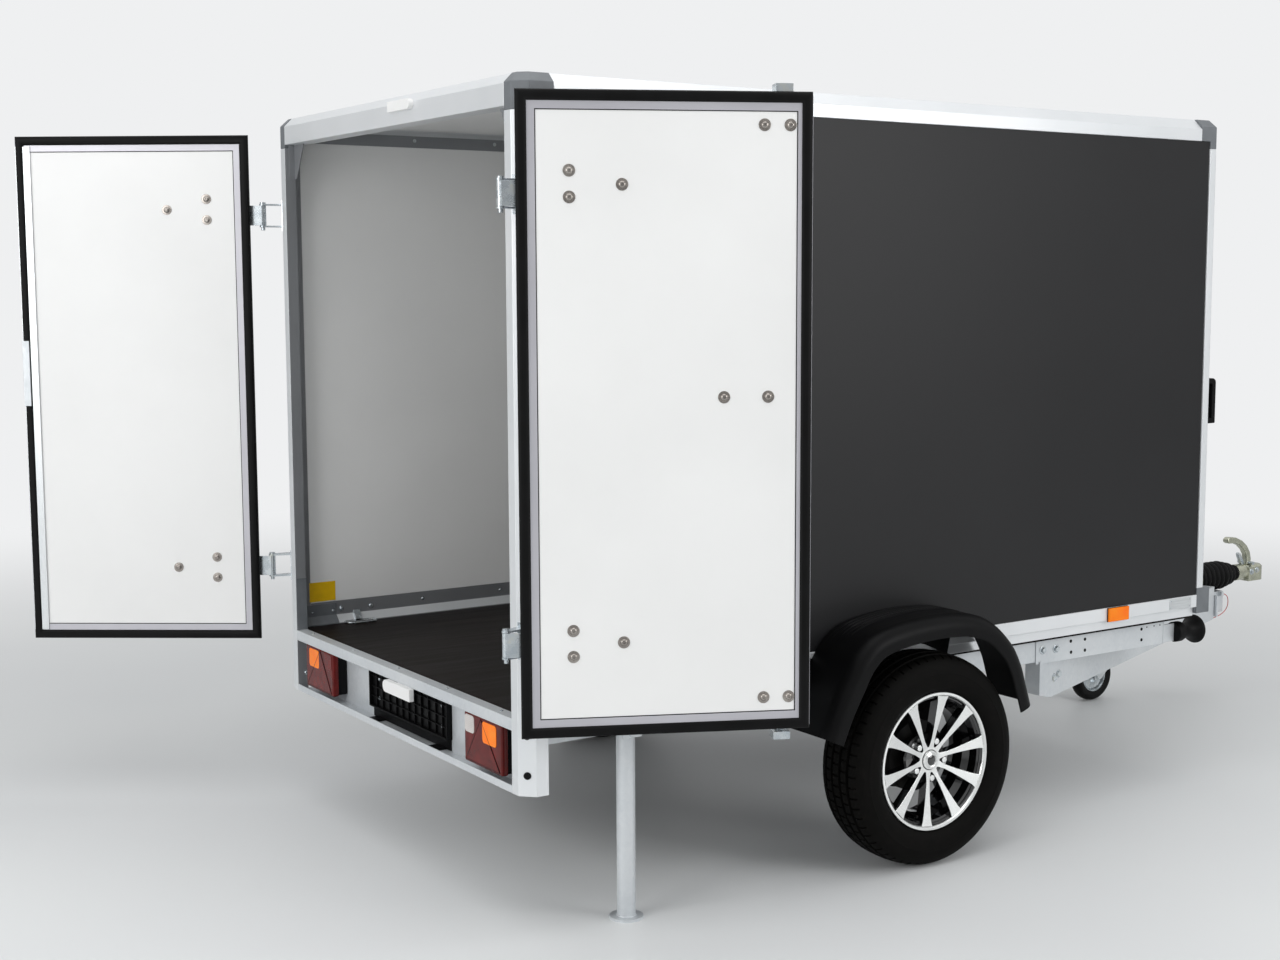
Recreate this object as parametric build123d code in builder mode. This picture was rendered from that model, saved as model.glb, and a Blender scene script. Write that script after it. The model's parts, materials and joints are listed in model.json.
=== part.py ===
"""Enclosed cargo trailer: single axle, two rear doors, V-drawbar with an overrun coupling.

Millimetres. +X is the right side seen from behind, +Y runs forward, +Z up.
The origin is the centre of the tow ball socket.
"""
from build123d import *
import os
from math import hypot, radians, sin

os.makedirs("parts", exist_ok=True)

# Driving dimensions
HITCH_HEIGHT = 485  # tow ball centre above the floor
GROUND = -HITCH_HEIGHT
REAR = -3870  # rear face of the body
BODY_LENGTH = 2630
HALF_WIDTH = 775  # outer face of the corner posts
WALL = 14
WALL_SETBACK = 3  # front wall behind the front faces of its posts
SHEET = 4  # folded steel sheet

POST_BOTTOM = GROUND + 365
FLOOR_TOP = GROUND + 562
FLOOR_BOTTOM = FLOOR_TOP - 12
OPENING_TOP = GROUND + 2107
ROOF_TOP = GROUND + 2189
FRONT = REAR + BODY_LENGTH
CHAMFER = 35
POST_DEPTH = 71  # outer leg of a rear post
POST_RETURN = 36  # inner leg of every post
FRONT_DEPTH = 63  # outer leg of a front post
CAP_DEPTH = 105  # corner cap along the roof
POST_INNER = 707
WALL_INNER = 757
WALL_OUTER = WALL_INNER + WALL
SILL_RAIL_TOP = GROUND + 635
ROOF_RAIL_BOTTOM = GROUND + 2119

MEMBER_OUTER = 700
MEMBER_INNER = 650
MEMBER_BOTTOM = GROUND + 475
MEMBER_FRONT = REAR + 2490

WHEEL_Y = REAR + 1251
WHEEL_X = 868
TYRE_RADIUS = 309
TYRE_HALF_WIDTH = 87
RIM_RADIUS = 201
RIM_HALF_WIDTH = 74
RIM_FLANGE = 5
RIM_BORE = 172
BEAD_RADIUS = 180
AXLE_Z = GROUND + TYRE_RADIUS
ARM_TRAIL = 150

PIN_X = 776
PIN_Y = REAR - 50
PIN_RADIUS = 6
PIN_CLEARANCE = 0.05
HINGE_HEIGHTS = (GROUND + 771, GROUND + 1889)
BARREL_LENGTH = 62
BARREL_RADIUS = 10

DOOR_BOTTOM = GROUND + 546
DOOR_TOP = GROUND + 2128
DOOR_HINGE_EDGE = 733
DOOR_FREE_EDGE = 5
DOOR_OUTER_FACE = REAR - 36
DOOR_INNER_FACE = REAR - 14
SEAL_FACE = REAR - 6
DOOR_FRAME_WIDTH = 44
SEAL_WIDTH = 18
SEAL_LAP = 9
STRIKE_SHEET = 3
STRIKE_HEIGHTS = (GROUND + 1290, GROUND + 1497)
OPEN_RIGHT = 245
OPEN_LEFT = 125

JOCKEY_X = -235
JOCKEY_Y = REAR + 3300
JOCKEY_TRAIL = 115
JOCKEY_RADIUS = 100
PROP_X = 790
PROP_Y = REAR + 295
PROP_PIVOT_Z = GROUND + 505

SIDES = (("left", -1), ("right", 1))


def block(x, y, z, mode=Mode.ADD):
    """A rectangular solid given by its limits along X, Y and Z."""
    with Locations(((x[0] + x[1]) / 2, (y[0] + y[1]) / 2, (z[0] + z[1]) / 2)):
        Box(abs(x[1] - x[0]), abs(y[1] - y[0]), abs(z[1] - z[0]), mode=mode)


def rod(start, end, radius, mode=Mode.ADD):
    """A round bar between two points."""
    run = Vector(*end) - Vector(*start)
    with Locations(Plane(origin=start, z_dir=run)):
        Cylinder(radius, run.length, align=(Align.CENTER, Align.CENTER, Align.MIN), mode=mode)


def outline(points):
    """A closed polygon in the active sketch."""
    Polygon(*points, align=None)


def save(builder, name):
    """Labels a finished sub-part and writes its STEP file."""
    builder.part.label = name
    export_step(builder.part, f"parts/{name}.step")


def save_shape(shape, name):
    """Labels a sub-part that was turned to its rest angle and writes it."""
    shape.label = name
    export_step(shape, f"parts/{name}.step")


# ---------------------------------------------------------------- chassis
with BuildPart() as side_members:
    for _, side in SIDES:
        z = (MEMBER_BOTTOM, FLOOR_BOTTOM)
        y = (REAR + POST_DEPTH, MEMBER_FRONT)
        block((side * MEMBER_INNER, side * MEMBER_OUTER), y, z)
        block((side * (MEMBER_INNER - 1), side * (MEMBER_OUTER - SHEET)), y,
              (z[0] + SHEET, z[1] - SHEET), Mode.SUBTRACT)
save(side_members, "side_members")

CROSS_HEIGHT = 70
CROSS_WIDTH = 40
CROSS_PLACES = (420, 1120, 1800, 2420)  # from the rear face
with BuildPart() as cross_members:
    for distance in CROSS_PLACES:
        y = REAR + distance
        block((-MEMBER_INNER, MEMBER_INNER), (y, y + CROSS_WIDTH), (FLOOR_BOTTOM - CROSS_HEIGHT, FLOOR_BOTTOM))
        block((-MEMBER_INNER, MEMBER_INNER), (y + SHEET, y + CROSS_WIDTH + 1),
              (FLOOR_BOTTOM - CROSS_HEIGHT + SHEET, FLOOR_BOTTOM - SHEET), Mode.SUBTRACT)
save(cross_members, "cross_members")

BEAM_WIDTH = 50
BEAM_BOTTOM = GROUND + 345
BEAM_REAR = (685, REAR + 1900)
# the rear end is cut back from below, from here up to the end
BEAM_CUT = ((REAR + 1995, BEAM_BOTTOM - 1), (REAR + 1860, BEAM_BOTTOM - 1), (REAR + 1860, BEAM_BOTTOM + 36))
BEAM_FRONT = (75, REAR + 3500)
BEAM_RUN = (BEAM_FRONT[0] - BEAM_REAR[0], BEAM_FRONT[1] - BEAM_REAR[1])
BEAM_LENGTH = hypot(*BEAM_RUN)
ALONG = (BEAM_RUN[0] / BEAM_LENGTH, BEAM_RUN[1] / BEAM_LENGTH)
ACROSS = (ALONG[1], -ALONG[0])


def beam_point(run, offset, side):
    """Plan point on a drawbar beam: along it from the rear end, and out from its centre line."""
    x = BEAM_REAR[0] + run * ALONG[0] + offset * ACROSS[0]
    y = BEAM_REAR[1] + run * ALONG[1] + offset * ACROSS[1]
    return (side * x, y)


with BuildPart() as drawbar_beams:
    for _, side in SIDES:
        half = BEAM_WIDTH / 2
        with BuildSketch(Plane.XY.offset(BEAM_BOTTOM)):
            outline([beam_point(r, o, side) for r, o in ((0, -half), (BEAM_LENGTH, -half),
                                                         (BEAM_LENGTH, half), (0, half))])
        extrude(amount=MEMBER_BOTTOM - BEAM_BOTTOM)
        with BuildSketch(Plane.XY.offset(BEAM_BOTTOM + SHEET)):
            outline([beam_point(r, o, side) for r, o in ((-1, -half - 1), (BEAM_LENGTH + 1, -half - 1),
                                                         (BEAM_LENGTH + 1, half - SHEET), (-1, half - SHEET))])
        extrude(amount=MEMBER_BOTTOM - BEAM_BOTTOM - 2 * SHEET, mode=Mode.SUBTRACT)
        with BuildSketch(Plane.XY.offset(BEAM_BOTTOM + SHEET)):
            outline([beam_point(r, o, side) for r, o in ((0, -half), (SHEET, -half),
                                                         (SHEET, half - SHEET), (0, half - SHEET))])
        extrude(amount=MEMBER_BOTTOM - BEAM_BOTTOM - 2 * SHEET)
    with BuildSketch(Plane.YZ.offset(-HALF_WIDTH)):
        outline(BEAM_CUT)
    extrude(amount=2 * HALF_WIDTH, mode=Mode.SUBTRACT)
save(drawbar_beams, "drawbar_beams")

# ---------------------------------------------------------------- axle
AXLE_BEAM_Y = WHEEL_Y + ARM_TRAIL
AXLE_BEAM_Z = GROUND + 405
AXLE_BEAM_SIZE = 70
AXLE_BEAM_END = 728
AXLE_BEAM_CHAMFER = 12
PERCH_REACH = 40
PERCH_LAP = 10
with BuildPart() as axle_beam:
    y = (AXLE_BEAM_Y - AXLE_BEAM_SIZE / 2, AXLE_BEAM_Y + AXLE_BEAM_SIZE / 2)
    z = (AXLE_BEAM_Z - AXLE_BEAM_SIZE / 2, AXLE_BEAM_Z + AXLE_BEAM_SIZE / 2)
    block((-AXLE_BEAM_END, AXLE_BEAM_END), y, z)
    chamfer(axle_beam.edges().filter_by(Axis.X), AXLE_BEAM_CHAMFER)
    for _, side in SIDES:
        block((side * MEMBER_INNER, side * MEMBER_OUTER), (y[0] - PERCH_REACH, y[1] + PERCH_REACH),
              (z[1] - PERCH_LAP, MEMBER_BOTTOM))
save(axle_beam, "axle_beam")

ARM_OUTER = 766
ARM_EYE = 26
ARM_BOSS = 32
STUB_RADIUS = 15
STUB_END = 878
BACKPLATE = (781, 791)
BACKPLATE_RADIUS = 108
with BuildPart() as swing_arms:
    for _, side in SIDES:
        with BuildSketch(Plane.YZ.offset(side * AXLE_BEAM_END)):
            outline([(WHEEL_Y, AXLE_Z + ARM_EYE), (AXLE_BEAM_Y, AXLE_BEAM_Z + ARM_BOSS),
                     (AXLE_BEAM_Y, AXLE_BEAM_Z - ARM_BOSS), (WHEEL_Y, AXLE_Z - ARM_EYE)])
            with Locations((WHEEL_Y, AXLE_Z)):
                Circle(ARM_EYE)
            with Locations((AXLE_BEAM_Y, AXLE_BEAM_Z)):
                Circle(ARM_BOSS)
        extrude(amount=side * (ARM_OUTER - AXLE_BEAM_END))
        rod((side * (ARM_OUTER - 1), WHEEL_Y, AXLE_Z), (side * STUB_END, WHEEL_Y, AXLE_Z), STUB_RADIUS)
        rod((side * BACKPLATE[0], WHEEL_Y, AXLE_Z), (side * BACKPLATE[1], WHEEL_Y, AXLE_Z), BACKPLATE_RADIUS)
save(swing_arms, "swing_arms")

# ---------------------------------------------------------------- wheels
SPOKES = 5
BEAD_HALF = RIM_HALF_WIDTH - RIM_FLANGE
# half of the tyre section from bead to crown, as (half width, radius)
TYRE_HALF = ((BEAD_HALF, BEAD_RADIUS), (BEAD_HALF, RIM_RADIUS + 1), (75, 208), (TYRE_HALF_WIDTH, 240),
             (86, 270), (77, 298), (64, TYRE_RADIUS))
# rim disc section, as (distance out from the wheel's middle, radius)
RIM_DISC = ((30, 0), (52, 0), (50, 34), (46, 60), (60, 176), (44, 176), (30, 78))
DRUM = (798, 862)
DRUM_RADIUS = 104
DRUM_HUB_RADIUS = 60
for label, side in SIDES:
    with BuildPart() as tyre:
        with BuildSketch(Plane.XY):
            outline([*TYRE_HALF, *((-half, radius) for half, radius in reversed(TYRE_HALF))])
        revolve(axis=Axis.X)
    placed = tyre.part.moved(Location((side * WHEEL_X, WHEEL_Y, AXLE_Z)))
    save_shape(placed, f"tyre_{label}")

    with BuildPart() as rim:
        with BuildSketch(Plane.XY):
            outline([(-RIM_HALF_WIDTH, RIM_BORE), (RIM_HALF_WIDTH, RIM_BORE), (RIM_HALF_WIDTH, RIM_RADIUS),
                     (BEAD_HALF, RIM_RADIUS), (BEAD_HALF, BEAD_RADIUS), (-BEAD_HALF, BEAD_RADIUS),
                     (-BEAD_HALF, RIM_RADIUS), (-RIM_HALF_WIDTH, RIM_RADIUS)])
        revolve(axis=Axis.X)
        with BuildSketch(Plane.XY):
            outline(RIM_DISC)
        revolve(axis=Axis.X)
        with BuildSketch(Plane.YZ.offset(20)):
            with PolarLocations(0, SPOKES):
                with BuildLine():
                    l1 = Line((88, -6), (160, -16))
                    l2 = RadiusArc(l1 @ 1, (160, 16), -160)
                    l3 = Line(l2 @ 1, (88, 6))
                    Line(l3 @ 1, l1 @ 0)
                make_face()
            with PolarLocations(0, SPOKES, start_angle=180 / SPOKES):
                with BuildLine():
                    l1 = Line((74, -12), (150, -64))
                    l2 = RadiusArc(l1 @ 1, (150, 64), -163)
                    l3 = Line(l2 @ 1, (74, 12))
                    Line(l3 @ 1, l1 @ 0)
                make_face()
        extrude(amount=60, mode=Mode.SUBTRACT)
    turned = rim.part if side > 0 else rim.part.mirror(Plane.YZ)
    save_shape(turned.moved(Location((side * WHEEL_X, WHEEL_Y, AXLE_Z))), f"rim_{label}")

    with BuildPart() as drum:
        rod((side * DRUM[0], WHEEL_Y, AXLE_Z), (side * DRUM[1], WHEEL_Y, AXLE_Z), DRUM_RADIUS)
        rod((side * DRUM[1], WHEEL_Y, AXLE_Z), (side * (WHEEL_X + 30), WHEEL_Y, AXLE_Z), DRUM_HUB_RADIUS)
        rod((side * (DRUM[0] - 1), WHEEL_Y, AXLE_Z), (side * (STUB_END + 5), WHEEL_Y, AXLE_Z),
            STUB_RADIUS + PIN_CLEARANCE, Mode.SUBTRACT)
    save(drum, f"brake_drum_{label}")

# ---------------------------------------------------------------- body shell
SILL_BOTTOM = GROUND + 534
LIP_SHEET = 2.5
FLOOR_HALF = 735
with BuildPart() as floor_panel:
    block((-FLOOR_HALF, FLOOR_HALF), (REAR + POST_RETURN, FRONT - POST_RETURN), (FLOOR_BOTTOM, FLOOR_TOP))
    block((-WALL_INNER, WALL_INNER), (REAR + POST_RETURN, REAR + POST_DEPTH), (FLOOR_BOTTOM, FLOOR_TOP))
    block((-POST_INNER, POST_INNER), (REAR + SHEET, REAR + POST_RETURN), (FLOOR_BOTTOM, FLOOR_TOP - LIP_SHEET))
    block((-POST_INNER, POST_INNER), (FRONT - POST_RETURN, FRONT - WALL_SETBACK), (FLOOR_BOTTOM, FLOOR_TOP))
save(floor_panel, "floor_panel")

with BuildPart() as rear_sill:
    block((-POST_INNER, POST_INNER), (REAR, REAR + POST_DEPTH), (SILL_BOTTOM, FLOOR_BOTTOM))
    block((-POST_INNER, POST_INNER), (REAR, REAR + SHEET), (FLOOR_BOTTOM, FLOOR_TOP))
    block((-POST_INNER, POST_INNER), (REAR, REAR + POST_RETURN), (FLOOR_TOP - LIP_SHEET, FLOOR_TOP))
save(rear_sill, "rear_sill")

BEAM_DEPTH = 60
BEAM_RETURN = 20
with BuildPart() as light_beam:
    block((-POST_INNER, POST_INNER), (REAR, REAR + BEAM_DEPTH), (POST_BOTTOM, SILL_BOTTOM))
    block((-POST_INNER - 1, POST_INNER + 1), (REAR - 1, REAR + BEAM_DEPTH - SHEET),
          (POST_BOTTOM + SHEET, SILL_BOTTOM - SHEET), Mode.SUBTRACT)
    block((-POST_INNER, POST_INNER), (REAR, REAR + SHEET), (POST_BOTTOM, POST_BOTTOM + BEAM_RETURN))
save(light_beam, "light_beam")


def post_plan(side, face, depth):
    """Plan of a corner post with its outer corner cut at 45 degrees; depth runs into the body."""
    sign = 1 if depth > 0 else -1
    return [(side * POST_INNER, face), (side * (HALF_WIDTH - CHAMFER), face),
            (side * HALF_WIDTH, face + sign * CHAMFER), (side * HALF_WIDTH, face + depth),
            (side * POST_INNER, face + depth)]


FRONT_POST_BOTTOM = GROUND + 657
CAP_LEG = GROUND + 2096
ENDS = (("rear", REAR, POST_DEPTH, POST_BOTTOM), ("front", FRONT, -FRONT_DEPTH, FRONT_POST_BOTTOM))
for end, face, depth, bottom in ENDS:
    inward = 1 if depth > 0 else -1
    with BuildPart() as posts:
        for _, side in SIDES:
            with BuildSketch(Plane.XY.offset(bottom)):
                outline(post_plan(side, face, depth))
            extrude(amount=CAP_LEG - bottom)
            block((side * (POST_INNER - 1), side * WALL_INNER),
                  (face + inward * POST_RETURN, face + depth + inward),
                  (bottom - 1, CAP_LEG + 1), Mode.SUBTRACT)
    save(posts, f"posts_{end}")

CAP_CHAMFER = 24
with BuildPart() as corner_caps:
    for _, side in SIDES:
        for _, face, depth, _ in ENDS:
            inward = 1 if depth > 0 else -1
            with BuildSketch(Plane.XY.offset(CAP_LEG)):
                outline(post_plan(side, face, depth))
            extrude(amount=ROOF_RAIL_BOTTOM - CAP_LEG)
            block((side * (POST_INNER - 1), side * WALL_INNER),
                  (face + inward * POST_RETURN, face + depth + inward), (CAP_LEG - 1, ROOF_RAIL_BOTTOM + 1),
                  Mode.SUBTRACT)
            with BuildSketch(Plane.XY.offset(ROOF_RAIL_BOTTOM)):
                outline(post_plan(side, face, inward * CAP_DEPTH))
            extrude(amount=ROOF_TOP - ROOF_RAIL_BOTTOM)
    top_edges = corner_caps.faces().filter_by(Axis.Z).group_by(Axis.Z)[-1].edges()
    chamfer(top_edges.filter_by(lambda e: abs(e.center().X) > POST_INNER + 1 and not (
        REAR + CAP_DEPTH - 1 < e.center().Y < FRONT - CAP_DEPTH + 1)), CAP_CHAMFER)
save(corner_caps, "corner_caps")

FOOT_BOTTOM = GROUND + 572
with BuildPart() as front_feet:
    for _, side in SIDES:
        block((side * POST_INNER, side * HALF_WIDTH), (FRONT - FRONT_DEPTH, FRONT),
              (FOOT_BOTTOM, FRONT_POST_BOTTOM))
save(front_feet, "front_feet")

HEADER_DEPTH = 60
HEADER_CHAMFER = 26
for end, face, depth in (("rear", REAR, HEADER_DEPTH), ("front", FRONT, -POST_RETURN)):
    with BuildPart() as header:
        with BuildSketch(Plane.YZ.offset(-POST_INNER)):
            slope_end = face + (HEADER_CHAMFER if depth > 0 else -HEADER_CHAMFER)
            outline([(face, OPENING_TOP), (face + depth, OPENING_TOP), (face + depth, ROOF_TOP),
                     (slope_end, ROOF_TOP), (face, ROOF_TOP - HEADER_CHAMFER)])
        extrude(amount=2 * POST_INNER)
    save(header, f"header_{end}")

ROOF_FLANGE = 700
ROOF_THICKNESS = 20
# half section of the roof rail: up the wall, over the sloped shoulder and in to the roof panel
ROOF_RAIL = ((WALL_INNER, ROOF_RAIL_BOTTOM), (HALF_WIDTH, ROOF_RAIL_BOTTOM), (HALF_WIDTH, ROOF_TOP - 33),
             (HALF_WIDTH - 33, ROOF_TOP), (ROOF_FLANGE, ROOF_TOP), (ROOF_FLANGE, ROOF_TOP - ROOF_THICKNESS),
             (WALL_INNER - 12, ROOF_TOP - ROOF_THICKNESS), (WALL_INNER, ROOF_TOP - ROOF_THICKNESS - 12))
with BuildPart() as roof_rails:
    for _, side in SIDES:
        with BuildSketch(Plane.XZ.offset(-(REAR + CAP_DEPTH))):
            outline([(side * x, z) for x, z in ROOF_RAIL])
        extrude(amount=-(BODY_LENGTH - 2 * CAP_DEPTH))
save(roof_rails, "roof_rails")

with BuildPart() as roof_panel:
    z = (ROOF_TOP - ROOF_THICKNESS, ROOF_TOP - 2)
    block((-ROOF_FLANGE, ROOF_FLANGE), (REAR + HEADER_DEPTH, FRONT - POST_RETURN), z)
    for y in ((REAR + HEADER_DEPTH, REAR + CAP_DEPTH), (FRONT - CAP_DEPTH, FRONT - POST_RETURN)):
        block((-POST_INNER, POST_INNER), y, z)
save(roof_panel, "roof_panel")

RAIL_FACE_BOTTOM = GROUND + 594
RAIL_FOOT = GROUND + 563
RAIL_SKIN = 3
# half section of the sill rail: outer face, step in to its foot, and the sloped kick strip inside
SILL_RAIL = ((WALL_INNER, SILL_RAIL_TOP), (HALF_WIDTH, SILL_RAIL_TOP), (HALF_WIDTH, RAIL_FACE_BOTTOM),
             (WALL_INNER + RAIL_SKIN, RAIL_FACE_BOTTOM), (WALL_INNER + RAIL_SKIN, RAIL_FOOT),
             (FLOOR_HALF, FLOOR_TOP - 6), (FLOOR_HALF, FLOOR_TOP + RAIL_SKIN),
             (WALL_INNER, RAIL_FACE_BOTTOM - 5))
with BuildPart() as sill_rails:
    for _, side in SIDES:
        with BuildSketch(Plane.XZ.offset(-(REAR + POST_DEPTH))):
            outline([(side * x, z) for x, z in SILL_RAIL])
        extrude(amount=-(BODY_LENGTH - POST_DEPTH - FRONT_DEPTH))
save(sill_rails, "sill_rails")

for label, side in SIDES:
    with BuildPart() as wall:
        block((side * WALL_INNER, side * WALL_OUTER), (REAR + POST_DEPTH, FRONT - FRONT_DEPTH),
              (SILL_RAIL_TOP, ROOF_RAIL_BOTTOM))
    save(wall, f"wall_{label}")

with BuildPart() as wall_front:
    block((-POST_INNER, POST_INNER), (FRONT - WALL_SETBACK - WALL, FRONT - WALL_SETBACK),
          (FOOT_BOTTOM, OPENING_TOP))
save(wall_front, "wall_front")

# ---------------------------------------------------------------- hinges
LUG = 5
LUG_GAP = 0.5
MID = (HALF_WIDTH - CHAMFER / 2, REAR + CHAMFER / 2)
DIAGONAL = sin(radians(45))
PLATE_HALF = 21
PLATE_THICKNESS = 4
PLATE_OVERHANG = 12
LUG_HALF = 11
PIN_FOOT = 10
PIN_HEAD = 9
with BuildPart() as hinge_brackets:
    for _, side in SIDES:
        near = (MID[0] - PLATE_HALF * DIAGONAL, MID[1] - PLATE_HALF * DIAGONAL)
        far = (MID[0] + PLATE_HALF * DIAGONAL, MID[1] + PLATE_HALF * DIAGONAL)
        out = PLATE_THICKNESS * DIAGONAL
        near_out = (near[0] + out, near[1] - out)
        far_out = (far[0] + out, far[1] - out)
        for height in HINGE_HEIGHTS:
            half = BARREL_LENGTH / 2 + LUG_GAP + LUG
            with BuildSketch(Plane.XY.offset(height - half - PLATE_OVERHANG)):
                outline([(side * x, y) for x, y in (near, far, far_out, near_out)])
            extrude(amount=2 * (half + PLATE_OVERHANG))
            for z in (height - half, height + half - LUG):
                with BuildSketch(Plane.XY.offset(z)):
                    outline([(side * x, y) for x, y in (near_out, far_out, (PIN_X + LUG_HALF, PIN_Y),
                                                        (PIN_X - LUG_HALF, PIN_Y))])
                    with Locations((side * PIN_X, PIN_Y)):
                        Circle(LUG_HALF)
                extrude(amount=LUG)
            rod((side * PIN_X, PIN_Y, height - half - PIN_FOOT),
                (side * PIN_X, PIN_Y, height + half + 1), PIN_RADIUS)
            rod((side * PIN_X, PIN_Y, height + half), (side * PIN_X, PIN_Y, height + half + LUG), PIN_HEAD)
save(hinge_brackets, "hinge_brackets")

# ---------------------------------------------------------------- doors
STRAP_LENGTH = 135
STRAP_THICKNESS = 6
ROD_X = 76
ROD_Y = DOOR_OUTER_FACE - 16
ROD_RADIUS = 11
ROD_BOTTOM = GROUND + 508
ROD_TOP = GROUND + 2158
CAM = (22, 12, 20)  # half width, reach behind the rod, height
LOCK_HANDLE = ((ROD_X, ROD_X + 190), (ROD_Y - 24, ROD_Y - ROD_RADIUS + 2), (GROUND + 1262, GROUND + 1288))
HANDLE_CATCH = ((ROD_X + 150, ROD_X + 185), (ROD_Y - 10, DOOR_OUTER_FACE), (GROUND + 1230, GROUND + 1255))
GUIDE = (34, 16, 20)  # half width, reach over the rod, half height
GUIDE_HEIGHTS = (GROUND + 600, GROUND + 1020, GROUND + 1640, GROUND + 2060)
for label, side, angle in (("left", -1, -OPEN_LEFT), ("right", 1, OPEN_RIGHT)):
    pin_axis = Axis((side * PIN_X, PIN_Y, 0), (0, 0, 1))
    x = (side * DOOR_FREE_EDGE, side * DOOR_HINGE_EDGE)
    inner_x = (side * (DOOR_FREE_EDGE + DOOR_FRAME_WIDTH), side * (DOOR_HINGE_EDGE - DOOR_FRAME_WIDTH))
    inner_z = (DOOR_BOTTOM + DOOR_FRAME_WIDTH, DOOR_TOP - DOOR_FRAME_WIDTH)

    with BuildPart() as door_panel:
        block(inner_x, (DOOR_OUTER_FACE + 1, DOOR_INNER_FACE - 2), inner_z)
    save_shape(door_panel.part.rotate(pin_axis, angle), f"door_{label}_panel")

    with BuildPart() as door_frame:
        block(x, (DOOR_OUTER_FACE, DOOR_INNER_FACE), (DOOR_BOTTOM, DOOR_TOP))
        block(inner_x, (DOOR_OUTER_FACE - 1, DOOR_INNER_FACE + 1), inner_z, Mode.SUBTRACT)
    save_shape(door_frame.part.rotate(pin_axis, angle), f"door_{label}_frame")

    with BuildPart() as door_seal:
        block((x[0], x[1] + side * SEAL_LAP), (DOOR_INNER_FACE, SEAL_FACE),
              (DOOR_BOTTOM - SEAL_LAP, DOOR_TOP + SEAL_LAP))
        block((x[0] + side * SEAL_WIDTH, x[1] - side * SEAL_WIDTH), (DOOR_INNER_FACE - 1, SEAL_FACE + 1),
              (DOOR_BOTTOM + SEAL_WIDTH, DOOR_TOP - SEAL_WIDTH), Mode.SUBTRACT)
    save_shape(door_seal.part.rotate(pin_axis, angle), f"door_{label}_seal")

    with BuildPart() as door_hinges:
        for height in HINGE_HEIGHTS:
            half = BARREL_LENGTH / 2
            rod((side * PIN_X, PIN_Y, height - half), (side * PIN_X, PIN_Y, height + half), BARREL_RADIUS)
            block((side * (PIN_X - STRAP_LENGTH), side * PIN_X),
                  (DOOR_OUTER_FACE - STRAP_THICKNESS, DOOR_OUTER_FACE), (height - half, height + half))
            rod((side * PIN_X, PIN_Y, height - half - 1), (side * PIN_X, PIN_Y, height + half + 1),
                PIN_RADIUS + PIN_CLEARANCE, Mode.SUBTRACT)
    save_shape(door_hinges.part.rotate(pin_axis, angle), f"door_{label}_hinges")

    if label == "left":
        with BuildPart() as strike:
            block((-DOOR_FREE_EDGE, -DOOR_FREE_EDGE + STRIKE_SHEET), (DOOR_OUTER_FACE, DOOR_INNER_FACE),
                  STRIKE_HEIGHTS)
        save_shape(strike.part.rotate(pin_axis, angle), "door_left_strike")
        continue

    with BuildPart() as lock_rod:
        rod((ROD_X, ROD_Y, ROD_BOTTOM), (ROD_X, ROD_Y, ROD_TOP), ROD_RADIUS)
        for z in ((ROD_BOTTOM, ROD_BOTTOM + CAM[2]), (ROD_TOP - CAM[2], ROD_TOP)):
            block((ROD_X - CAM[0], ROD_X + CAM[0]), (ROD_Y - CAM[1], REAR - 20), z)
        block(*LOCK_HANDLE)
    save_shape(lock_rod.part.rotate(pin_axis, angle), "lock_rod")

    with BuildPart() as rod_guides:
        for height in GUIDE_HEIGHTS:
            block((ROD_X - GUIDE[0], ROD_X + GUIDE[0]), (ROD_Y - GUIDE[1], DOOR_OUTER_FACE),
                  (height - GUIDE[2], height + GUIDE[2]))
            rod((ROD_X, ROD_Y, height - GUIDE[2] - 1), (ROD_X, ROD_Y, height + GUIDE[2] + 1),
                ROD_RADIUS + 0.5, Mode.SUBTRACT)
        block(*HANDLE_CATCH)
    save_shape(rod_guides.part.rotate(pin_axis, angle), "rod_guides")

KEEPER_DEPTH = 15
KEEPER_FOOT = 40
# each keeper, as its X limits, its heights, and the end that is rounded
KEEPERS = (((-34, 142), (GROUND + 494, GROUND + 530), 0), ((72, 208), (GROUND + 2142, GROUND + 2170), 1))
with BuildPart() as lock_keepers:
    for x, z, end in KEEPERS:
        eye = (z[1] - z[0]) / 2
        centre = (x[end] + (eye if end == 0 else -eye), z[0] + eye)
        block((centre[0], x[1 - end]), (REAR - KEEPER_DEPTH, REAR), z)
        rod((centre[0], REAR - KEEPER_DEPTH, centre[1]), (centre[0], REAR, centre[1]), eye)
    block((ROD_X - KEEPER_FOOT, ROD_X + KEEPER_FOOT), (REAR - 1, REAR + KEEPER_FOOT),
          (SILL_BOTTOM - 2 * SHEET, SILL_BOTTOM - SHEET))
save(lock_keepers, "lock_keepers")

# ---------------------------------------------------------------- lamps and plate
TAIL_LAMP = ((438, 646), (REAR + SHEET, REAR + BEAM_DEPTH - SHEET), (GROUND + 392, GROUND + 529))
TAIL_FILLET = 12
for label, side in SIDES:
    with BuildPart() as tail_lamp:
        block([side * x for x in TAIL_LAMP[0]], TAIL_LAMP[1], TAIL_LAMP[2])
        fillet(tail_lamp.edges().filter_by(Axis.Y), TAIL_FILLET)
    save(tail_lamp, f"tail_lamp_{label}")

PLATE_HOLDER = ((-245, 268), (REAR + 36, REAR + BEAM_DEPTH - SHEET), (GROUND + 402, GROUND + 526))
PLATE_FILLET = 8
with BuildPart() as plate_holder:
    block(*PLATE_HOLDER)
    fillet(plate_holder.edges().filter_by(Axis.Y), PLATE_FILLET)
save(plate_holder, "plate_holder")

REFLECTOR = ((HALF_WIDTH, HALF_WIDTH + 9), (REAR + 2136, REAR + 2230), (GROUND + 590, GROUND + 635))
with BuildPart() as side_reflectors:
    for _, side in SIDES:
        block([side * x for x in REFLECTOR[0]], REFLECTOR[1], REFLECTOR[2])
save(side_reflectors, "side_reflectors")

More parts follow.
